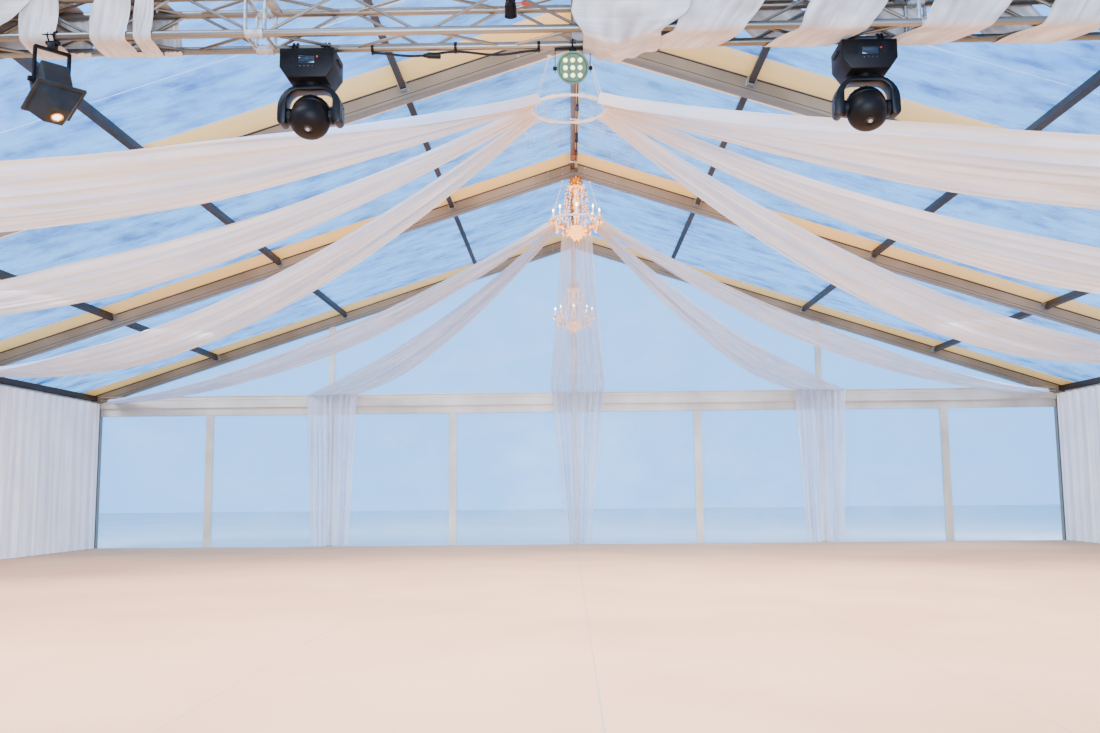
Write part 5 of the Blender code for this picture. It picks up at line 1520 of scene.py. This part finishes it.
        def place(across: float, along: float) -> Vector:
            """A point of the strip, whose folds run along it and draw together over the chords."""
            share = skip + turns * along
            middle = self.girth(share, 0.0)[0]
            drift = 0.25 * math.sin(TURN * share * 0.7 + phases[0]) + 0.12 * math.sin(TURN * share * 2.3 + phases[1])
            fold = math.sin(TURN * (4.3 * across + drift) + phases[2])
            fold += 0.5 * math.sin(TURN * (9.1 * across - drift) + phases[3])
            edge = 1 - abs(2 * across - 1) ** 6
            reach = self.chord + 0.0050 + 0.0065 * edge
            reach += 0.0042 * fold * (0.35 + 0.65 * middle) - 0.010 * middle * edge
            offset = self.girth(share, max(self.chord + 0.001, reach) if middle < 0.25 else reach)[2]
            wander = 0.018 * math.sin(5.1 * share + phases[1]) * abs(2 * across - 1)
            x = start + pitch * share + (across - 0.5) * width * (0.90 + 0.10 * middle) + wander
            return Vector((x, self.y, self.bottom + self.half)) + offset

        flat = (width * slope * 1.2, turns * math.hypot(round_truss, pitch))
        self.wrap(shop, name, (30, max(24, int(turns * 56))), flat, place)

    def bunch(self, shop: Workshop, name: str, first: float, last: float, drop: float, lean: float) -> None:
        """Hangs a length of cloth round the truss in soft upright folds that sag under it."""

        def place(across: float, along: float) -> Vector:
            """A point of the bunch: across runs round the truss, along goes to the right."""
            middle, _, offset = self.girth(across - 0.37, self.chord + 0.006)
            under = max(0.0, -(offset.z + 0.02) / (self.half + self.chord)) ** 1.5
            bell = math.exp(-(((along - 0.42) / 0.36) ** 2))
            pleat = 0.5 + 0.5 * math.sin(TURN * (4.2 * along + 0.25 * under) + 0.8)
            point = Vector((first + (last - first) * along, self.y, self.bottom + self.half)) + offset
            point.x += (0.4 - along) * 0.27 * under + 0.012 * math.sin(TURN * 4.2 * along) * middle
            point.x += lean * offset.z / self.half
            billow = 0.006 + 0.024 * pleat * (0.3 + 0.7 * min(1.0, under))
            point.y += math.copysign(billow, offset.y) * min(1.0, abs(offset.y) * 9)
            point.z -= under * bell * drop * (0.86 + 0.14 * pleat)
            return point

        self.wrap(shop, name, (84, 60), (1.42, 1.08 * (last - first)), place)

    def build(self, shop: Workshop) -> None:
        """Makes the truss and what is on it."""
        self.metalwork(shop)
        self.cables(shop)
        self.bunch(shop, "left_truss_drape", -4.80, -3.50, 0.09, 0.12)
        for index, (start, width) in enumerate(((-3.36, 0.24), (-2.91, 0.24), (-2.72, 0.12))):
            self.wound(shop, f"left_truss_band_{index + 1}", start, -0.3, 1.1, 0.14, width)
        self.bunch(shop, "right_truss_bunch", -0.09, 0.61, 0.10, 0.02)
        self.wound(shop, "right_truss_winding", 0.03, 0.5, 5.85, 0.735, 0.47)


def yoke_outline(width: float, arm: float, up: float, down: float, bar: float, outer: float, inner: float) -> list:
    """The outline of a U-shaped yoke about its pivot, with round arm ends.

    Args:
        width: Its full width.
        arm: The thickness of its arms.
        up: Its reach over the pivot.
        down: Its reach under the pivot.
        bar: The thickness of its top.
        outer: The radius of its outer corners.
        inner: The radius of its inner corners.

    Returns:
        Points in X and Z.
    """
    half, foot = width / 2, arm / 2

    def arc(x: float, z: float, radius: float, first: float, last: float) -> list[Pair]:
        """Points of an arc, from one angle to another in quarter turns."""
        angles = [math.pi / 2 * (first + (last - first) * k / 6) for k in range(7)]
        return [(x + radius * math.cos(a), z + radius * math.sin(a)) for a in angles]

    return [
        *arc(-half + foot, -down + foot, foot * 0.999, 2, 4),
        *arc(-half + arm + inner, up - bar - inner, inner, 2, 1),
        *arc(half - arm - inner, up - bar - inner, inner, 1, 0),
        *arc(half - foot, -down + foot, foot * 0.999, 2, 4),
        *arc(half - outer, up - outer, outer, 0, 1),
        *arc(-half + outer, up - outer, outer, 1, 2),
    ]


def hook(shape: Shape, x: float, height: float, radius: float, tube: float) -> None:
    """Adds a hook clamp round a chord that runs along X, with its saddle and wing bolt."""
    angles = (TURN * k / 16 for k in range(17))
    shape.run([(x, radius * math.cos(a), height + radius * math.sin(a)) for a in angles], tube)
    shape.block((x - 0.022, -0.018, height - radius - 0.020), (x + 0.022, 0.018, height - radius + 0.002), 0.003)
    shape.rod((x, -radius - 0.034, height - 0.012), (x, -radius + 0.004, height - 0.004), 0.005, 8)
    wing = (-radius - 0.030, height - 0.012)
    shape.rod((x - 0.020, *wing), (x + 0.020, *wing), 0.004, 8)


@dataclass
class MovingHead:
    """A moving-head lamp: a base under the truss, a yoke that pans and a head that tilts."""

    side: str
    x: float
    y: float = -2.6805
    base: Triple = (0.34, 0.28, 0.19)
    taper: Pair = (0.05, 0.07)
    base_top: float = 3.83
    pivot: float = 3.435
    tilt: float = math.radians(35.0)
    yoke: tuple[float, float, float, float, float] = (0.40, 0.055, 0.193, 0.06, 0.035)

    def housing(self, shop: Workshop) -> None:
        """Makes the base with its vents, handles and hooks, and its display with the buttons and pilot light."""
        at = shift(self.x, self.y, self.base_top)
        width, depth, height = self.base
        half, front, (cut_x, cut_z) = width / 2, -depth / 2, self.taper
        right = [(half - cut_x, -height), (half, -height + cut_z), (half, 0)]
        base = Shape(at).panel([*((-x, z) for x, z in reversed(right)), *right], front, -front, 0.012)
        for end in SIDES:
            for step in range(7):
                x, z = end * 0.112, -0.030 - 0.012 * step
                base.block((x - 0.036, front - 0.0015, z), (x + 0.036, front + 0.004, z + 0.005), 0.001)
            handle = ((half - 0.004, -0.06), (half + 0.006, -0.055), (half + 0.006, 0.055), (half - 0.004, 0.06))
            base.run([(end * x, y, -0.05) for x, y in handle], 0.008)
            for x in (-0.012, 0.012):
                hook(base, end * 0.10 + x, 0.050, 0.034, 0.0065)
        shop.add(f"{self.side}_lamp_base_case", base, BLACK, Slot.BLACK, replaces=[f"{self.side}_lamp_base"])
        screen = Shape(at).block((-0.050, front - 0.0015, -0.100), (0.050, front + 0.004, -0.052), 0.002)
        for step in range(4):
            x = -0.039 + 0.026 * step
            screen.rod((x, front + 0.002, -0.120), (x, front - 0.003, -0.120), 0.005)
        shop.add(f"{self.side}_lamp_display", screen, SMOKED, Slot.BLACK)
        light = Shape(at).rod((0.066, front + 0.002, -0.060), (0.066, front - 0.003, -0.060), 0.006)
        shop.add(f"{self.side}_lamp_pilot_light", light, RED_PLASTIC, Slot.BLACK)

    def build(self, shop: Workshop) -> None:
        """Makes the base, the yoke and the head."""
        self.housing(shop)
        hung = shift(self.x, self.y, self.pivot)
        total, arm, up, down, bar = self.yoke
        yoke = Shape(hung).panel(yoke_outline(total, arm, up, down, bar, 0.15, 0.075), -0.06, 0.06, 0.007)
        yoke.rod((0, 0, up - 0.01), (0, 0, up + 0.0115), 0.07, 32)
        for end in SIDES:
            cap = mm(0, 4, 40, 3, 46, -2, 46, -8, 0, -8)
            yoke.turned(cap, 24, shift(end * total / 2, 0, 0) @ spin(end * math.pi / 2, "Y"))
            for y in (-0.03, 0.03):
                yoke.rod((end * (total / 2 - 0.002), y, 0.06), (end * (total / 2 + 0.003), y, 0.06), 0.005, 8)
        body = f"{self.side}_lamp_yoke"
        shop.add(f"{self.side}_lamp_yoke_cover", yoke, BLACK_PLASTIC, Slot.BLACK, body, [body])
        tilted = hung @ spin(-self.tilt, "X")
        head = Shape(tilted).turned(mm(
            0, 120, 50, 119, 72, 114, 98, 94, 114, 70, 123, 40, 125, 22, 121, 18, 121, 11, 125, 7, 125, -50,
            120, -72, 110, -92, 94, -110, 70, -125, 45, -133, 40, -135, 34, -135, 32, -122, 0, -122
        ), 36)
        for k in range(16):
            head.block((0.066, -0.0025, 0.088), (0.098, 0.0025, 0.104), 0.001, spin(TURN * k / 16, "Z"))
        head.rod((-0.1447, 0, 0), (0.1447, 0, 0), 0.02, 20)
        rim = Shape(tilted).turned(mm(33, -124, 36, -134.5, 33, -135.8, 27, -134, 26, -126), 32)
        for end in SIDES:
            rim.rod((end * 0.119, 0, 0), (end * 0.141, 0, 0), 0.052, 28)
        lens = mm(0, -120, 28, -120, 28, -127, 20, -131, 10, -133, 0, -134)
        core = mm(0, -130, 13, -130, 12, -133.5, 6, -134.6, 0, -135)
        body = f"{self.side}_lamp_head"
        for name, shape, finish, stands_for in (
            ("head_case", head, BLACK, [body]),
            ("lens_rim", rim, BLACK_PLASTIC, []),
            ("lens", Shape(tilted).turned(lens, 32), SMOKED, []),
            ("lens_core", Shape(tilted).turned(core, 20), LENS, []),
        ):
            shop.add(f"{self.side}_lamp_{name}", shape, finish, Slot.BLACK, body, stands_for)


@dataclass
class FloodLamp:
    """The lit flood lamp: a rear box, a flanged pyramid nose and a small lens, in a square yoke."""

    place: Vector = field(default_factory=lambda: Vector((-3.27, -2.9195, 3.58)))
    turn: float = math.radians(48.0)
    tilt: float = math.radians(26.0)
    chord_foot: float = 3.855

    def build(self, shop: Workshop) -> None:
        """Makes the yoke, the body and the lens."""
        square, turned = Matrix.Translation(self.place), spin(self.turn, "Z")
        top = self.chord_foot - self.place.z
        yoke = Shape(square).panel(
            yoke_outline(0.222, 0.018, 0.22, 0.03, 0.018, 0.009, 0.002), -0.0125, 0.0125, 0.0015, turned
        )
        yoke.block((-0.024, -0.024, 0.211), (0.024, 0.024, top - 0.02), 0.004)
        for x in (-0.018, 0.018):
            hook(yoke, x, top + 0.025, 0.033, 0.006)
        for end in SIDES:
            yoke.rod((end * 0.108, 0, 0), (end * 0.134, 0, 0), 0.020, 12, 0.016, turned)
        shop.add("flood_yoke_strap", yoke, BLACK, Slot.BLACK, replaces=["flood_yoke"])
        tilted = square @ turned @ spin(-self.tilt, "X")
        body = Shape(tilted).block((-0.085, -0.10, -0.122), (0.085, 0.10, 0.08), 0.008)
        for k in range(9):
            x = -0.068 + 0.017 * k
            body.block((x - 0.002, -0.088, 0.078), (x + 0.002, 0.088, 0.092), 0.001)
        body.block((-0.145, -0.135, -0.140), (0.145, 0.135, -0.120), 0.003)
        body.block((-0.13, -0.12, -0.265), (0.13, 0.12, -0.139), 0.004, taper=(0.43, 0.54))
        for x in (-0.137, 0.137):
            for y in (-0.127, 0.127):
                body.rod((x, y, -0.122), (x, y, -0.117), 0.005, 6)
        body.rod((-0.0927, 0, 0), (0.0927, 0, 0), 0.012, 14)
        shop.add("flood_body_case", body, FLOOD_SHELL, Slot.BLACK, "flood_body", ["flood_body"])
        rim = mm(30, -262, 36, -264, 36, -270, 29, -273, 26, -268)
        shop.add("flood_lens_rim", Shape(tilted).turned(rim, 32), GILT, Slot.GILT, "flood_body")
        lens = mm(0, -263, 29, -263, 29, -267, 20, -270, 10, -272, 0, -273)
        shop.add("flood_lens", Shape(tilted).turned(lens, 32), FLOOD_LIGHT, Slot.BLACK, "flood_body")


@dataclass
class LedCan:
    """The small LED can on the far chord, with nine lit domes in a green ring."""

    place: Vector = field(default_factory=lambda: Vector((-0.088, -2.6805, 3.725)))
    tilt: float = math.radians(72.0)
    dome_pitch: float = 0.046
    chord_foot: float = 3.855

    def build(self, shop: Workshop) -> None:
        """Makes the bracket, the can, its ring and its domes."""
        at = Matrix.Translation(self.place)
        top = self.chord_foot - self.place.z
        yoke = Shape(at).panel(yoke_outline(0.226, 0.005, 0.126, 0.025, 0.005, 0.0025, 0.001), -0.015, 0.015, 0.0012)
        yoke.block((-0.024, -0.02, 0.122), (0.024, 0.02, top - 0.002), 0.002)
        hook(yoke, 0, top + 0.025, 0.031, 0.005)
        for end in SIDES:
            yoke.rod((end * 0.108, 0, 0), (end * 0.124, 0, 0), 0.014, 12, 0.012)
        shop.add("par_yoke_strap", yoke, BLACK, Slot.BLACK, replaces=["par_yoke"])
        tilted = at @ spin(-self.tilt, "X")
        can = Shape(tilted).turned(mm(0, 55, 70, 55, 80, 48, 90, 30, 97, 10, 97, -40, 92, -44, 0, -44), 36)
        for k in range(20):
            can.block((0.060, -0.002, 0.030), (0.094, 0.002, 0.050), 0.0008, spin(TURN * k / 20, "Z"))
        can.rod((-0.1077, 0, 0), (0.1077, 0, 0), 0.012, 14)
        shop.add("par_can", can, BLACK, Slot.BLACK, "par_body", ["par_body"])
        ring = mm(0, -40, 100, -38, 100, -55, 88, -55, 84, -47, 0, -47)
        shop.add("par_ring", Shape(tilted).turned(ring, 36), LED_RING, Slot.BLACK, "par_body")
        domes = Shape(tilted)
        dome = mm(0, 0, 15, 0, 14, -4, 10, -9, 0, -11)
        for row in (-1, 0, 1):
            for column in (-1, 0, 1):
                domes.turned(dome, 16, shift(self.dome_pitch * column, self.dome_pitch * row, -0.047))
        shop.add("par_led_domes", domes, LED_LIGHT, Slot.BLACK, "par_body")


@dataclass
class Studio:
    """The camera at the photograph's place, a plain pale floor and plain soft light."""

    eye: Triple = (-0.144, -9.034, 1.08)
    yaw: float = 0.0165
    pitch: float = 0.1189
    roll: float = -0.0095
    lens: float = 34.47
    sky: tuple[str, float] = ("#6cb2fc", 3.0)

    def camera(self) -> None:
        """Sets up the camera."""
        level = Vector((-math.sin(self.yaw), math.cos(self.yaw), 0))
        ahead = math.cos(self.pitch) * level + math.sin(self.pitch) * Vector((0, 0, 1))
        right = Vector((math.cos(self.yaw), math.sin(self.yaw), 0))
        up = right.cross(ahead)
        across = math.cos(self.roll) * right + math.sin(self.roll) * up
        rise = math.cos(self.roll) * up - math.sin(self.roll) * right
        data = bpy.data.cameras.new("camera")
        data.lens, data.sensor_width, data.clip_end = self.lens, 36.0, 200.0
        camera = bpy.data.objects.new("camera", data)
        camera.matrix_world = Matrix((across, rise, -ahead)).transposed().to_4x4()
        camera.location = self.eye
        bpy.context.scene.collection.objects.link(camera)
        bpy.context.scene.camera = camera

    def lamp(
        self, name: str, place: Point, aim: Point, size: float, power: float, colour: str, glossy: bool = True
    ) -> None:
        """Adds one soft area light, which the camera doesn't see."""
        data = bpy.data.lights.new(name, "AREA")
        data.shape, data.size, data.energy = "DISK", size, power
        data.color = linear(colour)[:3]
        lamp = bpy.data.objects.new(name, data)
        lamp.location = place
        lamp.rotation_euler = (Vector(aim) - Vector(place)).to_track_quat("-Z", "Y").to_euler()
        lamp.visible_camera, lamp.visible_glossy = False, glossy
        bpy.context.scene.collection.objects.link(lamp)

    def build(self, shop: Workshop) -> None:
        """Sets up the camera, light and floor."""
        self.camera()
        world = bpy.data.worlds.new("studio")
        world.use_nodes = True
        back = world.node_tree.nodes["Background"]
        back.inputs["Color"].default_value = linear(self.sky[0])
        back.inputs["Strength"].default_value = self.sky[1]
        bpy.context.scene.world = world
        self.lamp("key", (-12, -10, 16), (0, 2, 2), 12, 14000, "#eef5ff")
        self.lamp("fill", (14, 6, 12), (0, 4, 2), 12, 7000, "#eef5ff")
        self.lamp("inner", (0, -11.6, 2.2), (0, 6, 3.4), 6.0, 2000, "#d4e6ff")
        self.lamp("over_floor", (0, 1, 3.3), (0, 1.001, 0), 14.0, 2400, "#f6f8ff", glossy=False)
        mesh = Shape().block((-60, -60, -0.06), (60, 60, -0.004), 0.02).to_mesh("studio_floor")
        mesh.materials.append(shop.material(STUDIO_FLOOR))
        floor = bpy.data.objects.new("studio_floor", mesh)
        bpy.context.scene.collection.objects.link(floor)


def main() -> None:
    """Builds the studio and every sub-assembly in order."""
    logging.basicConfig(level=logging.INFO, format="%(name)s: %(message)s")
    shop = Workshop()
    ridge = RidgeLine()
    apex = ROOF.below(0.08, ROOF.profile_depth) - ROOF.gap
    ridge_foot = ridge.top - ridge.depth - ROOF.gap
    for part in (
        Studio(), ridge, Truss(), PortalFrames(), Purlins(), RoofCovers(), Walls(), Curtains(), Floor(), Gables(),
        Drapes(),
        Chandelier("front_chandelier", Vector((0.03, 7.5, 5.42)), apex),
        Chandelier("back_chandelier", Vector((0.0, 11.95, 4.60)), ridge_foot),
        MovingHead("left", -1.735), MovingHead("right", 1.735), FloodLamp(), LedCan(),
    ):
        part.build(shop)
    LOG.info("%d pieces", shop.count)


if __name__ == "__main__":
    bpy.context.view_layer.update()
    main()
